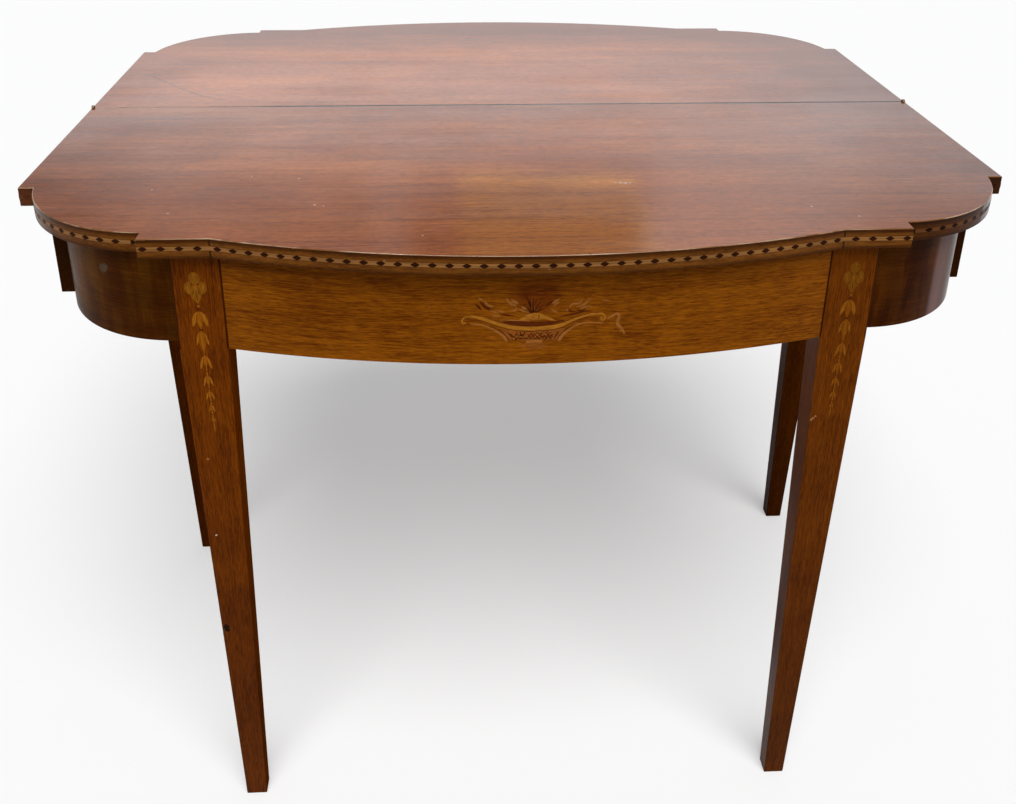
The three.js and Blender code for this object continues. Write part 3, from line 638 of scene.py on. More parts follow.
def faded_top(way, tree, colour):
    """Ages one leaf: darker ends, dark grain lines and grime along the joint; the fixed leaf also gets a
    painted golden reflection, the folding leaf a crack.
    """
    fixed = way < 0
    place = tree.place()
    uneven = (tree.noise(place, (0, 0, 0), (5, 7, 7), 2) - 0.5) * 0.3
    middle = -0.06 if fixed else -0.12
    ends = (abs(tree.across - middle) + uneven).ranged(0.14, 0.72)
    away = abs(tree.along) + uneven * 0.3
    near = away.ranged(0.10, 0.0, 0.0, 0.3)
    far = away.ranged(0.24, 0.38, 0.0, 0.1 if fixed else 0.75)
    lines = tree.noise(place, (0, 1.3 * way, 0), (3.2, 260, 260), 3, 0.6)
    patches = tree.noise(place, (0, 2.1 * way, 0), (4, 17, 17), 3)
    colour = tree.tinted(patches.ranged(0.44, 0.64, 0.0, 0.8), colour, IN_PATCHES)
    shade = ends.maths("MAXIMUM", near).maths("MAXIMUM", far)
    colour = tree.tinted(shade, colour, TOWARDS_ENDS)
    colour = tree.tinted(lines.ranged(0.52, 0.68, 0.0, 0.5 if fixed else 0.2), colour, IN_DARK_LINES)
    colour = painted_golden_reflection(tree, colour) if fixed else crack(tree, colour)
    return joint_grime(tree, colour)


def painted_golden_reflection(tree, colour):
    """A painted reflection: a paler, more golden piece of the front."""
    mask = tree.across.ranged(-0.085, -0.05) * tree.across.ranged(0.135, 0.11)
    return tree.tinted(mask * tree.along.ranged(-0.22, -0.27), colour, REFLECTED_GOLD)


# Points of the crack: a share of its run across, and how far behind the joint it is, in metres
CRACK = ((0.0, 0.158), (0.08, 0.150), (0.35, 0.112), (0.67, 0.067), (0.88, 0.043), (1.1, 0.028))


def crack(tree, colour):
    """A fine curved crack across the left-hand end of the folding leaf."""
    run = tree.node("ShaderNodeFloatCurve", {"Value": tree.across * 8.0 + 4.0})
    points = run.mapping.curves[0].points
    points[0].location, points[1].location = CRACK[0], CRACK[-1]
    for x, y in CRACK[1:-1]:
        points.new(x, y)
    run.mapping.update()
    away = abs(tree.along - Value(tree, run.outputs[0]))
    inside = tree.across.ranged(-0.497, -0.492) * tree.across.ranged(-0.362, -0.368)
    return tree.mixed(away.ranged(1.9 * MM, 0.5 * MM, 0.0, 0.8) * inside, colour, CRACKED)


def joint_grime(tree, colour):
    """Wax and dirt darken the top along the joint, more so in the middle."""
    near = abs(tree.along).ranged(4 * MM, 1.8 * MM, 0.0, 0.85)
    return tree.mixed(near * tree.across.ranged(-0.36, -0.28, 0.15, 1.0), colour, GRIME)


# Small pale nicks in the fixed leaf, in millimetres: place across, place along and size
NICKS = (
    (110, -280, 2.6), (105, -279, 2.2), (115, -280, 1.6), (100, -278, 1.6), (-213, -330, 1.6),
    (-204, -333, 1.3), (-385, -284, 1.2), (-288, -248, 1.1), (-237, -256, 1.3), (-104, -409, 1.2),
    (289, -350, 1.3), (329, -377, 1.2), (-355, -348, 1.2),
)
NICK_COLOUR = (0.50, 0.36, 0.27)


def top_wood(way):
    """The two leaves are cut from different boards; the folding leaf's is redder."""
    if way < 0:
        name, rich, seed, streaks = "Polished top, fixed leaf", 1.02, (0.0, 0.3, 0.1), 0.45
        marks = [((x * MM, y * MM, TOP_Z), size * MM, NICK_COLOUR) for x, y, size in NICKS]
    else:
        name, rich, seed, streaks, marks = "Polished top, folding leaf", 1.24, (2.7, 1.9, 0.4), 0.3, ()
    return polished_wood(
        name, grain_of("top", rich), "x", seed=seed, bands=0.3, streaks=streaks, fibres=0.65, pores=0.9,
        clean=0.10, dull=0.17, specular=0.5, tint=WHITE, marks=marks,
        bump=0.04, change=partial(faded_top, way),
    )


def darker_over_banding(tree, colour):
    """Darkens the edge towards both arrises, and reddens the steps at its two ends."""
    over = tree.up.ranged(BAND_HIGH + 0.5 * MM, TOP_Z - 2 * MM)
    under = tree.up.ranged(BAND_LOW - 2.5 * MM, LEAF_BOTTOM + 0.5 * MM, 0.0, 0.85)
    colour = tree.tinted(over.maths("MAXIMUM", under), colour, BESIDE_BANDING)
    return edge_joints(tree, red_ends(tree, colour))


def red_ends(tree, colour):
    """Darkens the edge round the right-hand corner, and reddens the small steps at the ends of the top."""
    step = HALF_WIDTH - shape().step
    start = step - shape().corner_span
    colour = tree.tinted(tree.across.ranged(start + 0.4 * MM, start + 1.2 * MM), colour, ROUND_THE_CORNER)
    for way, tone in RED_STEPS.items():
        mask = (tree.across * way).ranged(step - 1 * MM, step + 0.5 * MM, 0.0, 0.85)
        colour = tree.mixed(mask, colour, tone)
    return colour


def edge_joints(tree, colour):
    """Thin dark lines across the edge where each break meets the bow."""
    sizes = shape()
    away = abs(abs(tree.across) - (HALF_WIDTH - sizes.step - sizes.corner_span - sizes.break_width))
    return tree.mixed(away.ranged(1.3 * MM, 0.5 * MM, 0.0, 0.85), colour, EDGE_JOINT)


def edge_wood(source, glossy=False):
    """The edge shines most where it turns towards the right-hand end."""
    name, polish = f"Leaf edge, grain {source}", {"clean": 0.22, "dull": 0.36}
    if glossy:
        name, polish = name + ", glossy", {"clean": 0.05, "dull": 0.12, "tint": WHITE}
    specular = 0.6 if glossy else 0.12 if source == "x" else 0.22
    return polished_wood(
        name, grain_of("edge"), source, seed=(0.5, 0.2, 0.7), nicks=0.4, specular=specular,
        change=darker_over_banding, **polish,
    )


def arris_wood():
    # Pale bare wood on the worn arrises, paler still as a painted highlight along them
    grain = (colours().arris_worn_and_lit, colours().edge_light)
    return polished_wood(
        "Worn arris", grain, "x", seed=(0.9, 0.9, 0.1), bands=1.2, fibres=0.2, mottle=1.2, pores=0.1,
        clean=0.14, dull=0.26, specular=1.0, tint=(1.0, 0.95, 0.85), change=joint_grime,
    )


def shaded_apron(tree, colour):
    """Painted shade under the overhang, a scorched halo round the spray, and dark ends where it meets the
    legs.
    """
    # Painted shade: the top of the apron is darkened where the overhanging top would shade it
    top = tree.up.ranged(FRAME_TOP - 16 * MM, FRAME_TOP - 2 * MM, 0.0, 0.75)
    colour = tree.tinted(top, colour, PAINTED_OVERHANG_SHADE)
    aside, above = (tree.across - 3 * MM) * 0.8, tree.up - 700 * MM
    away = (aside * aside + above * above).maths("SQRT")
    colour = tree.tinted(away.ranged(26 * MM, 8 * MM, 0.0, 0.85), colour, ROUND_THE_SPRAY)
    return joint_line(tree, colour, BOW_END_X - 0.9 * MM, BOW_END_X - 0.3 * MM)


def joint_line(tree, colour, start, end):
    """A dark red line of old glue and polish where a piece meets its neighbour, at a place across."""
    return tree.mixed(abs(tree.across).ranged(start, end, 0.0, 0.9), colour, OLD_GLUE)


def apron_wood():
    return polished_wood(
        "Bowed front", grain_of("apron"), "map", seed=(4.2, 0.4, 0.0), bands=0.4, fibres=0.75, mottle=0.3,
        pores=0.7, clean=0.3, dull=0.48, specular=0.05, change=shaded_apron,
    )


def leg_shade_and_joints(front, tree, colour):
    """Paints light and shade on a leg: darker towards its foot as painted shade, paler to the left as painted
    light and, at the front, dark along its joints.
    """
    colour = tree.tinted(tree.up.ranged(0.60, 0.10), colour, SHADE_TOWARDS_FOOT)
    colour = tree.tinted(tree.across.ranged(0.3, -0.3), colour, LIGHT_TOWARDS_LEFT)
    if not front:
        return colour
    lined = joint_line(tree, colour, LEG_INNER_X + 1.4 * MM, LEG_INNER_X + 0.7 * MM)
    lined = joint_line(tree, lined, LEG_OUTER_X - 2.2 * MM, LEG_OUTER_X - 1.0 * MM)
    upper = tree.up.ranged(APRON_BOTTOM - 0.5 * MM, APRON_BOTTOM + 0.5 * MM)
    face = tree.along.ranged(LEG_FACE_Y + 3 * MM, LEG_FACE_Y + 2 * MM)
    return tree.mixed(upper * face, colour, lined)


# Marks in the faces of the front legs, in millimetres: place across, height, size and colour
BARE, SCRATCHED = (0.55, 0.40, 0.28), (0.30, 0.13, 0.05)
BRUISED, CHIPPED = (0.15, 0.085, 0.05), (0.01, 0.004, 0.002)
LEG_MARKS = (
    (-332, 494, 1.4, SCRATCHED), (-333, 395, 1.3, BARE), (-334, 266, 4.0, CHIPPED), (-333, 262, 3.4, CHIPPED),
    (-303, 110, 3.5, BRUISED), (302.5, 525, 1.5, SCRATCHED), (304.5, 527, 1.5, SCRATCHED),
    (306.5, 529.5, 1.5, SCRATCHED),
)


def leg_wood(source="z", seed=(1.3, 0.0, 0.6), specular=0.06, front=False, tone=1.0):
    name = f"Leg and rail, grain {source}, tone {tone}, gloss {specular}" + (", front" if front else "")
    marks = [((x * MM, LEG_FACE_Y, z * MM), size * MM, shade) for x, z, size, shade in LEG_MARKS]
    return polished_wood(
        name, grain_of("leg", tone), source, seed=seed, bands=0.3, streaks=0.3, fibres=0.55, mottle=0.25,
        pores=0.7, clean=0.25, dull=0.45, specular=specular,
        marks=marks if front else (), change=partial(leg_shade_and_joints, front),
    )


def shaded_end_grain():
    # Painted shade: the end grain is a fifth as bright as the legs, partly darker end grain and partly the
    # shade under the top
    return polished_wood(
        "End grain", grain_of("leg", 0.2), "y", seed=(0.1, 0.1, 0.1), bands=0.2, clean=0.5, dull=0.7,
        nicks=0.4, specular=0.05,
    )


def mottled_corner(side, tree, colour):
    """Upright mottles, as in bent wood, with a painted reflection stripe on the right, and bleached mottles
    under a painted sheen towards the outer edge on the left.
    """
    upright = tree.noise(tree.grain_map(), (0.3, 0.1, 0.0), (70, 9, 1), 3, 0.6)
    if side > 0:
        colour = tree.tinted(upright.ranged(0.42, 0.62), colour, IN_MOTTLES)
        # Painted reflection: a pale upright stripe near the right corner's outer edge
        painted_stripe = tree.across.ranged(0.423, 0.431) * tree.across.ranged(0.451, 0.436, 0.15) * 0.55
        return tree.mixed(painted_stripe, colour, PAINTED_REFLECTION)
    # Painted sheen: the outer part of the left corner is paled, over its bleached mottles
    outer = tree.across.ranged(-0.415, -0.465, 0.0, 0.45)
    return tree.tinted(upright.ranged(0.45, 0.62, 0.0, 0.7) + outer, colour, BLEACHED_AND_SHEEN)


# Chips in the left-hand corner, in metres: place, size and colour
CHIP_COLOUR = (0.10, 0.062, 0.035)
CORNER_CHIPS = (
    ((-0.4217, -0.3594, 0.6983), 0.0058, CHIP_COLOUR), ((-0.4190, -0.3612, 0.7005), 0.0040, CHIP_COLOUR),
)


def corner_wood(side):
    """The right-hand corner has kept more of its gloss than the left-hand one."""
    if side < 0:
        name, seed, marks = "Rounded corner, left", (7.7, 0.1, 0.3), CORNER_CHIPS
        clean, dull, specular = 0.25, 0.4, 0.03
    else:
        name, seed, marks = "Rounded corner, right", (3.7, 0.6, 0.9), ()
        clean, dull, specular = 0.06, 0.12, 0.05
    return polished_wood(
        name, grain_of("corner"), "map", seed=seed, bands=0.3, streaks=0.25, fibres=0.3, mottle=0.8,
        clean=clean, dull=dull, specular=specular, marks=marks, change=partial(mottled_corner, side),
    )


def inside_wood(source):
    return polished_wood(
        f"Unpolished timber, grain {source}", grain_of("inside"), source, seed=(5.0, 0.3, 2.2), streaks=0.6,
        fibres=0.6, pores=0.6, clean=0.62, dull=0.85, nicks=0.2, specular=0.2, bump=0.35,
    )


@once("materials")
def inlay_wood(name, colour, burnt, upright=False):
    """Thin inlay with a fine grain, burnt darker towards its edges, where the shade attribute rises."""
    material, tree, shader = new_material(name)
    fine = tree.noise(tree.place(), (0.2, 0.5, 0.9), (900, 160, 120) if upright else (160, 160, 900), 3, 0.6)
    tint = tree.mixed(fine.ranged(0.3, 0.7), scaled(colour, 0.75), scaled(colour, 1.22))
    shade = tree.value("ShaderNodeAttribute", output="Fac", attribute_name="shade")
    tint = tree.tinted(shade.maths("POWER", 2.2) * burnt, tint, SCORCHED)
    tree.fill(shader, {
        "Base Color": red_ends(tree, tint), "Roughness": fine.ranged(0.2, 0.8, 0.3, 0.45),
        "Specular IOR Level": 0.05, "Specular Tint": WARM,
    })
    return material


@once("materials")
def banding_wood(name):
    """Pale boxwood between two thin dark lines, on a map along the strip and up from its middle."""
    paints = colours()
    material, tree, shader = new_material(name)
    place = tree.grain_map()
    grain = tree.noise(place, (0, 0, 0), (14, 500, 1), 3, 0.6).ranged(0.3, 0.7)
    tint = tree.mixed(grain, scaled(paints.pale_inlay, 0.62), scaled(paints.pale_inlay, 1.2))
    edge = BAND_HALF - inlay_sizes().stringing
    line = abs(tree.axes(place)[1]).ranged(edge - 0.2 * MM, edge + 0.2 * MM)
    tint = red_ends(tree, tree.mixed(line, tint, scaled(paints.dark_inlay, 2.0)))
    looks = {"Base Color": tint, "Roughness": 0.36, "Specular IOR Level": 0.1, "Specular Tint": WARM}
    tree.fill(shader, looks)
    return material


@once("materials")
def worn_metal(name, colour, roughness):
    material, tree, shader = new_material(name)
    stain = tree.noise(tree.place(), (0.3, 0.3, 0.3), (180, 180, 180), 4, 0.6)
    tree.fill(shader, {
        "Base Color": tree.mixed(stain.ranged(0.35, 0.62), scaled(colour, 0.35), list(colour)),
        "Roughness": stain.ranged(0.3, 0.7, roughness + 0.25, roughness), "Metallic": 0.4,
    })
    return material


# Leaves
UPPER, FRONT, END, ARRIS, SHINING_END, UNDER = range(6)


def build_leaf(way):
    name, body = LEAVES[way]
    piece = prism(f"{name}_board", facing(joined(leaf_runs(shape().joint_gap / 2)), way), LEAF_BOTTOM, TOP_Z)
    wood = [top_wood(way), edge_wood("x"), edge_wood("y"), arris_wood(), edge_wood("y", glossy=True)]
    if way < 0:
        wood.append(inside_wood("x"))
    for polygon in piece.data.polygons:
        n = polygon.normal
        if abs(n.z) > 0.5:
            polygon.material_index = UNDER if n.z < 0 and way < 0 else UPPER
        elif abs(n.y) > abs(n.x):
            polygon.material_index = FRONT
        else:
            polygon.material_index = SHINING_END if n.x > 0 else END
    wear_top_arris(piece, shape().arris, ARRIS)
    finish_piece(piece, body, wood, [name], arris=0.4 * MM)


# Banding
def edge_path(way, outwards):
    return facing(moved_in(joined(leaf_runs(BAND_START)), -outwards), way)


def build_banding(way):
    """A strip let into a leaf's edge, as a row of four-sided sections."""
    leaf, body = LEAVES[way]
    outer = edge_path(way, inlay_sizes().proud)
    inner = edge_path(way, -1.5 * MM)
    run = distances(outer)
    vertices = []
    for (ox, oy), (ix, iy) in zip(outer, inner):
        vertices += [(ox, oy, BAND_LOW), (ox, oy, BAND_HIGH), (ix, iy, BAND_HIGH), (ix, iy, BAND_LOW)]
    faces = tube(len(outer), 4)
    heights = (-BAND_HALF, BAND_HALF, BAND_HALF, -BAND_HALF)
    uvs = [[(run[v // 4], heights[v % 4]) for v in face] for face in faces]
    piece = mesh_object(f"{leaf}_banding_strip", vertices, faces, uvs)
    outward_faces(piece)
    finish_piece(piece, body, [banding_wood("Pale banding")], [f"{leaf}_banding"])


@once("node_groups")
def lozenge_tree(name):
    """Geometry nodes: bow-sided lozenges at even spacing along each run, their length along it."""
    tree, given, out = new_group(
        name, "GeometryNodeTree",
        {"Runs": "Geometry", "Length": "Float", "Height": "Float", "Depth": "Float", "Material": "Material"},
        {"Lozenges": "Geometry"},
    )
    curve = tree.value("GeometryNodeMeshToCurve", {0: given["Runs"]})
    by_name = "GeometryNodeInputNamedAttribute"
    spacing = tree.value(by_name, {"Name": "spacing"}, "Attribute", data_type="FLOAT")
    spread = tree.value("GeometryNodeResampleCurve", {"Curve": curve, "Length": spacing}, mode="LENGTH")
    tangent = tree.value("GeometryNodeInputTangent")
    turn = tree.value("FunctionNodeAlignRotationToVector", {"Vector": tangent}, axis="X", pivot_axis="Z")
    round_block = {"Vertices": 8, "Radius": 0.5, "Depth": 1.0}
    block = tree.value("GeometryNodeMeshCylinder", round_block, "Mesh", fill_type="NGON")
    x, y, z = tree.axes(tree.value("GeometryNodeInputPosition"))
    bowed = tree.combined(x * abs(x) * 2.0, y, z)
    block = tree.value("GeometryNodeSetPosition", {"Geometry": block, "Position": bowed})
    size = tree.combined(given["Length"], given["Height"], given["Depth"])
    block = tree.value("GeometryNodeTransform", {"Geometry": block, "Scale": size})
    block = tree.value("GeometryNodeTransform", {"Geometry": block, "Rotation": (math.pi / 2, 0.0, 0.0)})
    # A run with room for one lozenge is a short stub, and only its first point takes it
    reach = tree.value("GeometryNodeSplineLength", output="Length")
    stub = tree.value("FunctionNodeCompare", {0: reach, 1: 2 * MM}, data_type="FLOAT", operation="LESS_THAN")
    last = tree.value("GeometryNodeCurveEndpointSelection", {"Start Size": 0, "End Size": 1})
    kept = tree.value("FunctionNodeBooleanMath", {0: stub, 1: last}, operation="NAND")
    inputs = {"Points": spread, "Selection": kept, "Instance": block, "Rotation": turn}
    placed = tree.value("GeometryNodeInstanceOnPoints", inputs)
    real = tree.value("GeometryNodeRealizeInstances", {"Geometry": placed})
    dressed = tree.value("GeometryNodeSetMaterial", {"Geometry": real, "Material": given["Material"]})
    tree.fill(out, {"Lozenges": dressed})
    return tree.base


def from_modifier(piece, tree, values):
    """Runs a tree on a piece and leaves its result as a plain mesh."""
    modifier = piece.modifiers.new(tree.name, "NODES")
    modifier.node_group = tree
    for item in tree.interface.items_tree:
        if item.in_out == "INPUT" and item.name in values:
            modifier[item.identifier] = values[item.name]
    bpy.context.view_layer.update()
    seen = piece.evaluated_get(bpy.context.evaluated_depsgraph_get())
    mesh = bpy.data.meshes.new_from_object(seen)
    mesh.name = piece.name
    piece.modifiers.clear()
    piece.data = mesh


def trimmed(points, start_cut, end_cut):
    """An open run shortened by a distance at each end."""
    run = distances(points)
    first, last = start_cut, run[-1] - end_cut
    places = [first] + [r for r in run if first < r < last] + [last]
    x, y = zip(*points)
    return [(np.interp(d, run, x), np.interp(d, run, y)) for d in places]


def build_lozenges(way):
    sizes = inlay_sizes()
    leaf, body = LEAVES[way]
    depth = 1.2 * MM
    out_by = sizes.proud + 0.07 * MM - depth / 2
    vertices, edges, spacings = [], [], []
    for run in leaf_runs(BAND_START):
        path = facing(moved_in(run, -out_by), way)
        reach = distances(path)[-1]
        count = max(1, round(reach / sizes.lozenge_pitch))
        pitch = reach / count
        if count == 1:
            path = trimmed(path, 0.49 * reach, 0.49 * reach)
            spacing = reach
        else:
            over_leg = abs(reach - shape().break_width) < MM
            shift = sizes.break_shift * np.sign(run[0][0] + run[-1][0]) if over_leg else 0.0
            path = trimmed(path, pitch / 2 - shift, pitch / 2 + shift)
            spacing = pitch * 0.9995
        first = len(vertices)
        vertices += [(x, y, BAND_MIDDLE) for x, y in path]
        edges += [(i, i + 1) for i in range(first, len(vertices) - 1)]
        spacings += [spacing] * len(path)
    piece = mesh_object(f"{leaf}_lozenges", vertices, [], edges=edges, spacing=spacings)
    from_modifier(piece, lozenge_tree("Lozenges along an edge"), {
        "Length": sizes.lozenge_length, "Height": sizes.lozenge_height, "Depth": depth,
        "Material": inlay_wood("Dark lozenge", colours().dark_inlay, 0.0),
    })
    tie(piece, body, [])


# Inlay strips
def curve_through(points, steps=6):
    """A smooth open curve through points, each a row of places and of what goes with them."""
    p = np.array(points, float)
    if len(p) < 3:
        return [p[0] + (p[-1] - p[0]) * t for t in np.linspace(0, 1, steps + 1)]
    padded = np.vstack([2 * p[0] - p[1], p, 2 * p[-1] - p[-2]])
    curve = []
    for i in range(1, len(padded) - 2):
        a, b, c, d = padded[i - 1 : i + 3]
        bend, twist = 2 * a - 5 * b + 4 * c - d, 3 * b - a - 3 * c + d
        for t in np.linspace(0, 1, steps, endpoint=False):
            curve.append(0.5 * (2 * b + (c - a) * t + bend * t * t + twist * t**3))
    return curve + [padded[-2]]


class InlayStrips:
    """Collects thin strips that lie on a face, each crowned and closed, for one object."""

    def __init__(self, face_y):
        self.face_y = face_y
        self.vertices, self.faces, self.shades = [], [], []

    def between(self, left, right, layer=0, edge_shade=1.0):
        """A strip between two edges, each a list of (x, z)."""
        first = len(self.vertices)
        lift = inlay_sizes().proud + layer * 0.03 * MM
        depth = -0.35 * MM
        for (lx, lz), (rx, rz) in zip(left, right):
            crown = ((lx, lz, lift), ((lx + rx) / 2, (lz + rz) / 2, lift), (rx, rz, lift))
            for x, z, out in (*crown, (rx, rz, depth), (lx, lz, depth)):
                self.vertices.append((x, self.face_y(x) - out, z))
            self.shades += [edge_shade, 0.0, edge_shade, 1.0, 1.0]
        self.faces += tube(len(left), 5, first)

    def panel(self, top, low, edge_shade):
        """A panel between two smooth edges, in millimetres."""
        edges = ([p * MM for p in curve_through(edge)] for edge in (top, low))
        self.between(*edges, edge_shade=edge_shade)

    def stroke(self, points, widths, layer=0, edge_shade=1.0, steps=6):
        """A stroke along points, with its widths spread over its length, all in millimetres."""
        values = np.interp(np.linspace(0, 1, len(points)), np.linspace(0, 1, len(widths)), widths)
        line = np.array(curve_through([(x, z, w) for (x, z), w in zip(points, values)], steps))
        along = np.gradient(line[:, :2], axis=0)
        along /= np.linalg.norm(along, axis=1)[:, None]
        half = np.stack([-along[:, 1], along[:, 0]], axis=1) * np.maximum(line[:, 2:3], 0.12) / 2
        self.between((line[:, :2] + half) * MM, (line[:, :2] - half) * MM, layer, edge_shade)

    def made(self, name, material, nodes=()):
        piece = mesh_object(name, self.vertices, self.faces, shade=self.shades)
        outward_faces(piece)
        finish_piece(piece, "frame", [material], nodes)


# The husks of a leg from the top, in millimetres: heights of the middle's top and bottom and of the petal
# tips, reach of the petals, widths of the middle, and how broad the petals are as a share
HUSKS = (
    (667.5, 649, 651, 8, (2.5, 5.6, 5.8, 1.2), 1.0),
    (645, 623, 630, 6.5, (2.5, 7, 7.4, 4.5, 1.0), 0.75),
    (617.5, 604.5, 602.5, 6, (1.8, 4.0, 3.9, 0.9), 0.8),
    (594.5, 583, 582.5, 5, (1.5, 3.4, 3.2, 0.7), 0.8),
    (576, 568, 566.5, 4.3, (1.3, 2.9, 2.7, 0.6), 0.8),
    (560, 552, 551.5, 3, (1.1, 2.3, 2.1, 0.5), 0.85),
    (545.5, 538, 540, 2, (1.0, 1.8, 1.6, 0.5), 0.9),
)
# A petal's middle line, as shares of its reach and of its fall
PETAL = ((0.12, 0.03), (0.46, 0.28), (0.70, 0.66), (0.93, 1.0))
DROP_OFFSET = 1.7
DROP_LEAN = 0.019
DROP_TOP = 700.0


def build_leg_drop(side_name, side):
    """A rosette over a string of husks, which leans a little inwards as it goes down."""
    leg_middle = (LEG_INNER_X + LEG_OUTER_X) / 2 / MM
    broader = inlay_sizes().drop_scale
    rosette, amber, tan, red = (InlayStrips(lambda x: LEG_FACE_Y) for _ in range(4))

    def put(strips, widths, *points, **more):
        middles = [side * (leg_middle + DROP_OFFSET - (DROP_TOP - z) * DROP_LEAN) for x, z in points]
        places = [(middle + x * broader, z) for middle, (x, z) in zip(middles, points)]
        strips.stroke(places, [w * broader for w in widths], **more)

    put(rosette, (3.4, 9.4, 11.2, 9.4, 3.6), (0, 697), (0, 700), (0, 703.8), (0, 707.6), (0, 710.4))
    for turn in (-1, 1):
        lobe = [(5.6, 699.8), (6.6, 696.6), (6.7, 693.3), (6.2, 690.0), (4.6, 686.8)]
        put(rosette, (3.0, 7.0, 8.2, 7.2, 3.0), *((turn * x, z) for x, z in lobe))
        put(red, (0.7, 0.3), (turn * 1.6, 696.4), (turn * 4.2, 698.2), layer=3, steps=2)
        put(red, (0.9, 0.4), (turn * 2.2, 689.4), (turn * 3.6, 686.0), layer=3, steps=2)
        put(tan, (0.5, 1.6, 0.4), (turn * 6.6, 697.0), (turn * 7.6, 693.6), (turn * 6.8, 690.4), layer=1)
    put(rosette, (3.0, 7.0, 4.0), (0, 698.6), (0, 694.0), (0, 689.0), layer=1)
    put(rosette, (5.0, 11.0, 7.6, 0.6), (0, 691.0), (0, 686.4), (0.2, 681.2), (0.4, 676.3), layer=2)
    put(tan, (0.5, 1.5, 0.4), (-1.6, 706.8), (0.4, 708.2), (2.4, 706.4), layer=1)
    put(tan, (0.8, 2.4, 0.8), (0, 695.6), (0, 693.2), (0, 690.8), layer=3)
    put(red, (0.3, 0.9, 0.3), (0.2, 688.0), (0.3, 683.6), (0.4, 679.0), layer=3)
    put(tan, (1.2, 2.2, 1.2), (0.4, 674.6), (0.4, 673.4), (0.4, 672.2))
    put(red, (1.2, 2.6, 1.2), (-2.4, 669.6), (0.4, 669.9), (3.2, 669.6), layer=2)
    for index, (top, bottom, tip, reach, widths, breadth) in enumerate(HUSKS):
        put(amber, widths, *((0, z) for z in np.linspace(top, bottom, len(widths))), layer=1)
        fall = tip - top
        for turn in (-1, 1):
            petal = [(turn * reach * across, top + fall * down) for across, down in PETAL]
            put(tan, [reach * breadth * w for w in (0.20, 0.56, 0.54, 0.12)], *petal)
            vein = [(turn * reach * 0.30, top + fall * 0.2), (turn * reach * 0.42, top + fall * 0.85)]
            put(red, (0.3, 0.07 * reach), *vein, layer=2, steps=3)
        if index < len(HUSKS) - 1:
            following = HUSKS[index + 1][0]
            mark = (bottom + following) / 2
            put(tan, (0.9, 1.2, 0.9), (0.2, bottom + 0.6), (0, mark), (0, following))
            size = 2.2 if index == 0 else 1.0
            put(red, (0.4, size, 0.4), (-1.3 * size, mark), (0, mark), (1.3 * size, mark), layer=2)
    tail = HUSKS[-1][1]
    put(tan, (0.9, 1.2, 0.3), (0, tail), (0, tail - 5), (0, tail - 10))
    paints = colours()
    # Painted light: the right-hand leg's inlay is dimmed to 0.76, the left one kept full
    light_by_side = 1.0 if side < 0 else 0.76
    for strips, part, tone, burnt, nodes in (
        (amber, "husks", paints.amber_inlay, 0.35, [f"{side_name}_leg_inlay"]),
        (tan, "petals", paints.petal_inlay, 0.4, []),
        (rosette, "rosette", paints.rosette_inlay, 0.3, []),
    ):
        wood = inlay_wood(f"Leg {part}, {side_name}", scaled(tone, light_by_side), burnt, upright=True)
        strips.made(f"{side_name}_leg_{part}", wood, nodes)
    red.made(f"{side_name}_leg_marks", inlay_wood("Scorched marks", paints.red_inlay, 0.2))


# Outlines of the basket on the bowed front, as places across and up in millimetres
RIM_TOP = (
    (-65, 677.5), (-59, 679.5), (-46, 677), (-33, 672), (-17, 668), (2, 667), (24, 669), (40, 675),
    (55, 679.5), (67, 679),
)
RIM_LOW = (
    (-65, 675.5), (-59, 677), (-46, 673), (-33, 668), (-17, 663.5), (2, 662.5), (24, 664.5), (40, 672),
    (55, 677), (67, 677.5),
)
BODY_TOP = ((-31, 665), (-12, 662), (7, 661.5), (32, 665))
BODY_LOW = ((-22.5, 652.5), (-8, 652), (7, 651.5), (24, 651.5))
INSIDE_TOP = ((-28.5, 673), (-9, 673), (10, 672), (30, 673.5))
INSIDE_LOW = ((-28.5, 671), (-10, 668), (10, 667.5), (30, 672))
DRAPE_TOP = ((-13, 675), (-5, 680.5), (4, 682), (11, 679.5), (22, 673))
DRAPE_LOW = ((-13, 674), (-5, 674), (4, 674), (11, 674.5), (22, 672.5))
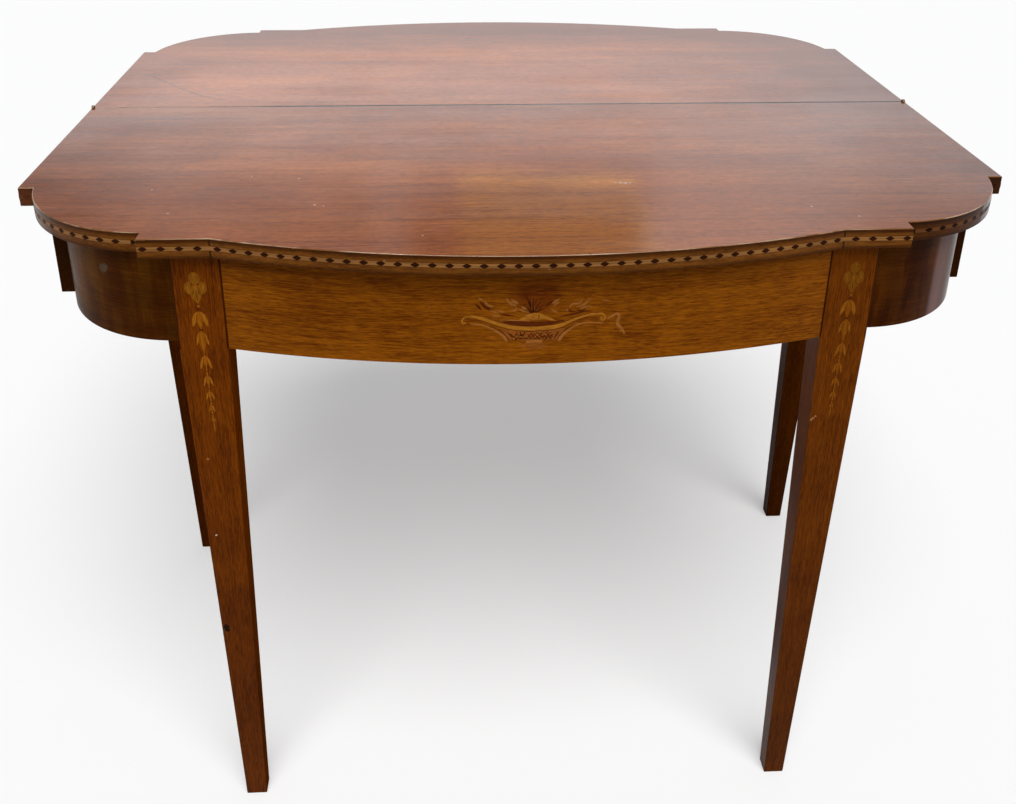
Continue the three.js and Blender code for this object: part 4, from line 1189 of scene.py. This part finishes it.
# Strokes, each as its widths and its places
LEFT_SCROLL = ((-60, 678.5), (-64, 677.5), (-67.5, 674.5), (-67, 670.5), (-64, 671.5))
RIGHT_SCROLL = ((62.5, 679), (67, 678.5), (70, 674.5), (67.5, 671.5), (65.5, 673.5), (67.5, 675))
RIM_STROKES = (((1.4, 1.8, 1.7, 1.1), LEFT_SCROLL), ((1.4, 1.8, 1.7, 1.1), RIGHT_SCROLL))
RIBBON = ((72, 673), (77, 675.5), (81.5, 678), (83.5, 674), (82, 667), (86, 661.5), (90, 655))
TAN_STROKES = (
    ((1.1, 1.9, 2.7), ((-60, 670.5), (-47, 668.5), (-37, 663.5), (-29, 657.5), (-24.5, 651))),
    ((1.0, 2.0, 3.0), ((68, 668.5), (50, 669.5), (39, 665.5), (31, 659), (25, 651))),
    ((0.8, 1.1, 0.8), ((-31.5, 674.5), (-17, 674), (-3, 673))),
    ((3.4, 3.8, 3.4), ((-6, 650.5), (1.5, 650.5), (9.5, 650.5))),
    ((1.6, 2.1, 2.1, 2.8, 2.6, 1.5), RIBBON),
    ((1.1, 1.6, 0.8), ((84.5, 662), (85.5, 660), (85.5, 657))),
    ((0.4, 3.1, 0.9), ((-26.5, 698.5), (-22, 692.5), (-16, 689.5))),
    ((0.4, 2.6, 0.7), ((-21.5, 696.5), (-18, 694), (-14, 691.5))),
    ((0.4, 2.4, 0.7), ((-11.5, 689), (-8, 686.5), (-4.5, 683))),
    ((0.4, 2.2, 0.7), ((-14, 686.5), (-9, 684), (-4, 682))),
    ((0.8, 1.6, 0.8), ((-16, 688), (-17, 685), (-21.5, 683.5))),
    ((0.4, 2.6, 0.7), ((-47, 695), (-43, 690.5), (-37.5, 689))),
    ((0.4, 2.0, 0.7), ((-52.5, 698.5), (-50, 696.5), (-47, 695.5))),
    ((0.5, 1.9, 0.5), ((-41.5, 686), (-37.5, 683.5), (-33, 682))),
    ((0.5, 1.9, 0.5), ((-39.5, 679), (-35.5, 679), (-31, 678))),
    ((0.5, 1.8, 0.5), ((-34.5, 685.5), (-30.5, 683.5), (-26.5, 683))),
    ((0.7, 2.7, 0.4), ((18, 691.5), (21.5, 693.5), (25.5, 697))),
    ((0.5, 1.9, 0.4), ((19, 689), (22, 691), (25.5, 692.5))),
    ((0.7, 2.0, 2.0, 0.4), ((34.5, 686), (37, 690), (44.5, 691.5), (47.5, 695.5))),
    ((0.7, 1.9, 1.9, 0.4), ((41.5, 687), (48, 689), (53.5, 694.5), (55.5, 693.5))),
    ((0.5, 2.0, 0.5), ((45, 684.5), (50.5, 687), (57, 686.5))),
    ((0.5, 2.2, 0.5), ((17, 686), (20, 683.5), (23.5, 681.5))),
    ((0.4, 1.1, 0.4), ((65.5, 694.5), (69.5, 692.5), (73.5, 692.5))),
    ((1.6, 2.2, 1.6), ((31, 684), (32.5, 684), (33.5, 684.5))),
)
RED_STROKES = (
    ((0.5, 2.4, 0.5), ((-50.5, 693.5), (-45, 688), (-35.5, 683.5))),
    ((0.5, 1.9, 0.5), ((-55, 691.5), (-52, 688.5), (-49.5, 685))),
    ((0.5, 1.6, 0.5), ((-31.5, 681.5), (-25, 679.5), (-18, 679))),
    ((0.5, 1.9, 0.5), ((11, 688), (15, 691.5), (19, 694.5))),
    ((0.5, 1.6, 0.5), ((34, 684.5), (36.5, 682.5), (40.5, 682))),
    ((0.5, 1.6, 0.5), ((42, 683), (46, 682.5), (50.5, 683.5))),
    ((0.4, 1.2, 0.4), ((26, 677), (38, 679.5), (54.5, 682.5))),
)
DARK_STROKES = (
    ((0.4, 0.9, 0.6), ((-42, 667.5), (-33, 664), (-26, 657.5), (-22, 651.5))),
    ((0.4, 0.9, 0.6), ((42.5, 667.5), (34, 664), (27, 657.5), (23, 651))),
    ((0.5, 0.9, 0.5), ((-9, 653.5), (2, 653), (13, 653))),
    ((0.4, 0.9, 0.3), ((6, 679.5), (5.5, 677), (4.5, 674.5))),
)
# Tips of the spikes that fan out of the drapery
SPIKE_TIPS = (
    (-10.5, 707), (-6, 698.5), (-3.5, 697.5), (-0.5, 698.5), (3, 697.5), (7, 694), (10, 690.5), (11.5, 686),
    (-10.5, 690.5), (-13, 686.5),
)
SPIKE_FOOT = (0.6, 682)
GLEAMS = (((-1, 684), (-2, 695.5)), ((1.5, 684), (1.5, 692.5)), ((3, 683.5), (5.5, 688.5)))
FLECKS = 18


def weave(red, tan):
    """An uneven weave of leaning red strands over the basket's body, with tan flecks between them."""
    draw = np.random.RandomState(4).uniform
    for lean in (-1, 1):
        for x in np.arange(-20.0, 22.0, 3.7):
            low, high = x + draw(-1.2, 1.2), x + lean * 4.6 + draw(-1.4, 1.4)
            foot, top = draw(652.0, 655.0), draw(658.5, 661.5)
            red.stroke([(low, foot), (high, top)], [draw(0.8, 1.8), draw(0.6, 1.4)], layer=1, steps=2)
    for _ in range(FLECKS):
        x, z = draw(-22.0, 22.0), draw(653.5, 660.5)
        tan.stroke([(x - 0.8, z - 0.5), (x + 0.9, z + 0.6)], [1.3, 0.8], layer=2, steps=2)


def build_basket():
    """The apron's basket under its boat-shaped rim, with a spray over it and a ribbon at one end."""
    gold, tan, body, red, dark = (InlayStrips(bow_face_y) for _ in range(5))
    gold.panel(RIM_TOP, RIM_LOW, 0.8)
    for edge, inwards in ((RIM_TOP, 0.4), (RIM_LOW, -0.4)):
        dark.stroke([(x, z + inwards) for x, z in edge[2:-1]], [0.3, 0.7, 0.3])
    red.panel(INSIDE_TOP, INSIDE_LOW, 0.5)
    body.panel(BODY_TOP, BODY_LOW, 0.6)
    body.stroke([(-11, 647), (1, 646), (13, 646)], [4.2, 5.0, 4.2])
    body.stroke([(-6, 642.5), (2, 642), (9.5, 642.5)], [0.8, 1.4, 0.8])
    weave(red, tan)
    gold.panel(DRAPE_TOP, DRAPE_LOW, 0.9)
    tan.stroke([(-3, 678), (0.5, 676.5), (3.5, 674.5)], [0.5, 1.8, 0.5], layer=1)
    tan.stroke([(-10.5, 676.5), (-6.5, 677.5), (-4, 676.5)], [0.4, 1.1, 0.4], layer=1)
    for tip in SPIKE_TIPS:
        foot = (SPIKE_FOOT[0] + 0.15 * tip[0], SPIKE_FOOT[1])
        bend = ((foot[0] + 0.8 * tip[0]) / 2, (foot[1] + tip[1]) / 2)
        red.stroke([foot, bend, tip], [1.4, 1.9, 0.4], edge_shade=0.8)
    for points in GLEAMS:
        tan.stroke(points, [0.4, 0.8, 0.3], layer=1)
    for strips, table, broader in (
        (gold, RIM_STROKES, 1.2), (tan, TAN_STROKES, 1.4), (red, RED_STROKES, 1.4), (dark, DARK_STROKES, 1.1),
    ):
        for widths, points in table:
            strips.stroke(points, [width * broader for width in widths])
    paints = colours()
    gold.made("basket_rim", inlay_wood("Golden rim", paints.gold_inlay, 0.55), ["rim_inlay"])
    tan.made("basket_and_leaves", inlay_wood("Faded inlay", paints.tan_inlay, 0.55), ["basket_inlay"])
    body.made("basket_body", inlay_wood("Basketwork", paints.body_inlay, 0.2))
    red.made("basket_spray", inlay_wood("Red-brown inlay", paints.red_inlay, 0.3), ["spray_inlay"])
    dark.made("basket_outlines", inlay_wood("Dark outlines", scaled(paints.dark_inlay, 3.0), 0.2))


# Legs
def build_leg(name, body, side, outer_x, inner_x, plain_y, tapered_y, wood):
    """A square leg that tapers below the apron on three sides. Its two sides have their own material."""
    sizes = shape()
    way = 1 if plain_y > tapered_y else -1
    foot_y = tapered_y + way * sizes.depth_taper
    vertices = []
    for z, outer, inner, y in (
        (0.0, outer_x - sizes.outer_taper, inner_x + sizes.inner_taper, foot_y),
        (APRON_BOTTOM, outer_x, inner_x, tapered_y),
        (FRAME_TOP, outer_x, inner_x, tapered_y),
    ):
        corners = ((outer, plain_y), (inner, plain_y), (inner, y), (outer, y))
        vertices += [(side * across, along, z) for across, along in corners]
    piece = mesh_object(f"{name}_post", vertices, tube(3, 4))
    outward_faces(piece)
    for polygon in piece.data.polygons:
        polygon.material_index = int(abs(polygon.normal.x) > 0.5)
    finish_piece(piece, body, wood, [name], arris=0.9 * MM)


class TABLE_OT_leaves(bpy.types.Operator):
    """Make the two leaves of the top"""

    bl_idname = "table.leaves"
    bl_label = "Leaves"

    def execute(self, context):
        for way in LEAVES:
            build_leaf(way)
        return {"FINISHED"}


class TABLE_OT_banding(bpy.types.Operator):
    """Make the banding round both leaves, with its lozenges"""

    bl_idname = "table.banding"
    bl_label = "Edge banding"

    def execute(self, context):
        for way in LEAVES:
            build_banding(way)
            build_lozenges(way)
        return {"FINISHED"}


class TABLE_OT_front_apron(bpy.types.Operator):
    """Make the bowed front apron"""

    bl_idname = "table.front_apron"
    bl_label = "Front apron"

    def execute(self, context):
        ring = bow_curve() + bow_curve(shape().apron_thickness)[::-1]
        piece = prism("front_apron_board", ring, APRON_BOTTOM, FRAME_TOP)
        finish_piece(piece, "frame", [apron_wood()], ["front_apron"], arris=0.7 * MM)
        return {"FINISHED"}


class TABLE_OT_corner_aprons(bpy.types.Operator):
    """Make the two rounded corner aprons"""

    bl_idname = "table.corner_aprons"
    bl_label = "Corner aprons"

    def execute(self, context):
        sizes = shape()
        for name, side in SIDES.items():
            low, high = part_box(f"{name}_corner_apron")
            front = (LEG_OUTER_X + SEAM, -low.y)
            back = (max(abs(low.x), abs(high.x)), -high.y)
            outer = arc(back, front, sizes.corner_apron_rise, CORNER_APRON_STEPS)
            centre, radius = circle_through(back, front, sizes.corner_apron_rise)
            radius -= sizes.corner_apron_thickness
            first = math.acos((front[0] - centre[0]) / radius)
            last = math.asin((back[1] - centre[1]) / radius)
            inner = round_part(centre, radius, first, last, CORNER_APRON_STEPS)
            ring = [(side * x, -y) for x, y in outer + inner]
            piece = prism(f"{name}_corner_apron_board", ring, APRON_BOTTOM, FRAME_TOP)
            wood = [corner_wood(side)]
            finish_piece(piece, "frame", wood, [f"{name}_corner_apron"], arris=0.7 * MM)
        return {"FINISHED"}


class TABLE_OT_legs(bpy.types.Operator):
    """Make the four tapered legs"""

    bl_idname = "table.legs"
    bl_label = "Legs"

    def execute(self, context):
        for name, side in SIDES.items():
            wood = [leg_wood(front=True), leg_wood(specular=0.07 if side > 0 else 0.0)]
            sizes = (LEG_OUTER_X, LEG_INNER_X, LEG_FACE_Y, LEG_BACK_Y)
            build_leg(f"{name}_front_leg", "frame", side, *sizes, wood)
            low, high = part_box(f"{name}_rear_leg")
            inner_x, outer_x = sorted((abs(low.x), abs(high.x)))
            # Painted shade: the rear legs' wood is darkened to 0.55 for the shade under the top
            wood = [leg_wood(tone=0.55, specular=gloss) for gloss in (0.01, 0.04 if side > 0 else 0.0)]
            build_leg(f"{name}_rear_leg", f"{name} rear leg", side, outer_x, inner_x, high.y, low.y, wood)
        return {"FINISHED"}


class TABLE_OT_side_rails(bpy.types.Operator):
    """Make the two plain side rails"""

    bl_idname = "table.side_rails"
    bl_label = "Side rails"

    def execute(self, context):
        for name in SIDES:
            low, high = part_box(f"{name}_side_rail")
            ring = [(low.x, low.y), (high.x, low.y), (high.x, high.y), (low.x, high.y)]
            piece = prism(f"{name}_side_rail_board", ring, low.z, high.z)
            for polygon in piece.data.polygons:
                polygon.material_index = int(abs(polygon.normal.y) > 0.5)
            wood = [leg_wood("y", seed=(0.4, 2.0, 1.1)), shaded_end_grain()]
            finish_piece(piece, "frame", wood, [f"{name}_side_rail"], arris=0.8 * MM)
        return {"FINISHED"}


class TABLE_OT_leg_inlay(bpy.types.Operator):
    """Lay the rosette and husks into both front legs"""

    bl_idname = "table.leg_inlay"
    bl_label = "Leg inlay"

    def execute(self, context):
        for name, side in SIDES.items():
            build_leg_drop(name, side)
        return {"FINISHED"}


class TABLE_OT_apron_inlay(bpy.types.Operator):
    """Lay the basket into the front apron"""

    bl_idname = "table.apron_inlay"
    bl_label = "Apron inlay"

    def execute(self, context):
        build_basket()
        return {"FINISHED"}


class TABLE_OT_inner_parts(bpy.types.Operator):
    """Finish the solids that stay as they are: rails, runners, blocks, tongues, hinges and screws"""

    bl_idname = "table.inner_parts"
    bl_label = "Inner parts"

    def execute(self, context):
        paints = colours()
        along = {"runner": "y", "block": "z"}
        for name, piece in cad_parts.items():
            if piece.hide_render:
                continue
            if name.startswith("top_screw"):
                material = worn_metal("Dull steel", paints.steel, 0.45)
            elif "hinge" in name:
                material = worn_metal("Old brass", paints.brass, 0.5)
            else:
                material = inside_wood(next((axis for word, axis in along.items() if word in name), "x"))
            piece.data.materials.clear()
            piece.data.materials.append(material)
        return {"FINISHED"}


# The photograph's camera: its place in metres, its turns in radians and its shift as a share of the width
CAMERA_PLACE = (-0.08679, -1.35897, 1.17701)
YAW, PITCH, ROLL = 0.05905, 0.42158, 0.01004
SHIFT = (0.00788, -0.1643)
KEY_DIRECTION = (0.1, -1.0, 1.7)
FLOOR_REACH = 30.0


class TABLE_OT_stage(bpy.types.Operator):
    """Set up the floor, the soft light and the camera"""

    bl_idname = "table.stage"
    bl_label = "Stage"

    def execute(self, context):
        build_floor(context.scene.table_stage)
        build_lights(context.scene.table_stage)
        build_camera(context.scene.table_stage)
        return {"FINISHED"}


def build_floor(settings):
    corners = [(x * FLOOR_REACH, y * FLOOR_REACH, 0.0) for x, y in ((-1, -1), (1, -1), (1, 1), (-1, 1))]
    floor = mesh_object("floor", corners, [(0, 1, 2, 3)])
    material, tree, shader = new_material("Pale floor")
    seen = tree.value("ShaderNodeLightPath", output="Is Camera Ray")
    tree.fill(shader, {
        "Base Color": settings.floor_colour, "Roughness": 0.6, "Specular IOR Level": 0.0,
        "Emission Color": WHITE, "Emission Strength": seen * settings.floor_glow,
    })
    floor.data.materials.append(material)


def build_lights(settings):
    """A room that the top mirrors: pale near the horizon, darker above it, with paler panels on its wall.

    Places in it are the sine of a direction's height, and how far aside it goes for each metre back.
    """
    world = bpy.data.worlds.new("Soft room")
    bpy.context.scene.world = world
    world.use_nodes = True
    tree = Tree(world.node_tree)
    x, y, height = tree.axes(tree.value("ShaderNodeTexCoord", output="Generated"))
    aside = x / y
    low = height.ranged(0.24, 0.28, settings.room_low, settings.room_low * 1.62)
    low = low * height.ranged(0.285, 0.305, 1.0, 0.89)
    low = low * aside.ranged(0.38, 0.48, 1.0, 0.86) * aside.ranged(-0.25, -0.32, 1.0, 0.88)
    panel = aside.ranged(0.19, 0.22) * aside.ranged(0.54, 0.34, 0.15, 1.0)
    bar = aside.ranged(-0.075, -0.06) * aside.ranged(-0.025, -0.035)
    left = aside.ranged(-0.04, -0.09) * aside.ranged(-0.35, -0.28)
    lift = (panel * 0.84 + bar * 0.3 + left * 0.22) * height.ranged(0.55, 0.47)
    outer = (-0.27 - aside).maths("MAXIMUM", 0.0)
    fall = (height + outer * 0.3 + panel * 0.018 + left * 0.008 - 0.006).ranged(0.334, 0.364)
    behind = low * (1.0 - fall) + (lift + settings.room_high) * fall
    turn = {"Value": y, "From Min": -0.1, "From Max": 0.2, "To Min": settings.room_front, "To Max": behind}
    strength = tree.value("ShaderNodeMapRange", turn)
    tree.fill(world.node_tree.nodes["Background"], {"Strength": strength, "Color": settings.room_colour})
    key = bpy.data.lights.new("Soft key", "SUN")
    key.energy, key.angle = settings.key_strength, settings.key_spread
    linked("Soft key", key).rotation_euler = Vector(KEY_DIRECTION).to_track_quat("Z", "Y").to_euler()


def build_camera(settings):
    camera = bpy.data.cameras.new("Photograph")
    camera.sensor_width = 36.0
    camera.lens = settings.lens
    camera.shift_x, camera.shift_y = SHIFT
    holder = linked("Photograph", camera)
    place = Matrix.Translation(CAMERA_PLACE)
    for angle, axis in ((-YAW, "Z"), (math.pi / 2 - PITCH, "X"), (ROLL, "Z")):
        place = place @ Matrix.Rotation(angle, 4, axis)
    holder.matrix_world = place
    bpy.context.scene.camera = holder
    bpy.context.scene.view_settings.view_transform = "Standard"


OPERATORS = (
    TABLE_OT_leaves,
    TABLE_OT_banding,
    TABLE_OT_front_apron,
    TABLE_OT_corner_aprons,
    TABLE_OT_legs,
    TABLE_OT_side_rails,
    TABLE_OT_leg_inlay,
    TABLE_OT_apron_inlay,
    TABLE_OT_inner_parts,
    TABLE_OT_stage,
)
GROUPS = {
    "table_shape": TableShape,
    "table_inlay": TableInlay,
    "table_colours": TableColours,
    "table_stage": TableStage,
}


class TABLE_PT_folding_table(bpy.types.Panel):
    """Lists the pieces of the folding table and their sizes"""

    bl_idname = "TABLE_PT_folding_table"
    bl_label = "Folding Table"
    bl_space_type = "VIEW_3D"
    bl_region_type = "UI"
    bl_category = "Folding Table"

    def draw(self, context):
        for operator in OPERATORS:
            self.layout.operator(operator.bl_idname)
        for group in GROUPS:
            settings = getattr(context.scene, group)
            box = self.layout.box()
            for key in settings.__annotations__:
                box.prop(settings, key)


def register():
    for key, group in GROUPS.items():
        bpy.utils.register_class(group)
        setattr(bpy.types.Scene, key, bpy.props.PointerProperty(type=group))
    for operator in OPERATORS:
        bpy.utils.register_class(operator)
    bpy.utils.register_class(TABLE_PT_folding_table)


def unregister():
    bpy.utils.unregister_class(TABLE_PT_folding_table)
    for operator in reversed(OPERATORS):
        bpy.utils.unregister_class(operator)
    for key, group in reversed(GROUPS.items()):
        delattr(bpy.types.Scene, key)
        bpy.utils.unregister_class(group)


def main():
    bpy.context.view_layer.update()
    register()
    bpy.ops.table.leaves()
    bpy.ops.table.banding()
    bpy.ops.table.front_apron()
    bpy.ops.table.corner_aprons()
    bpy.ops.table.legs()
    bpy.ops.table.side_rails()
    bpy.ops.table.leg_inlay()
    bpy.ops.table.apron_inlay()
    bpy.ops.table.inner_parts()
    bpy.ops.table.stage()


if __name__ == "__main__":
    main()
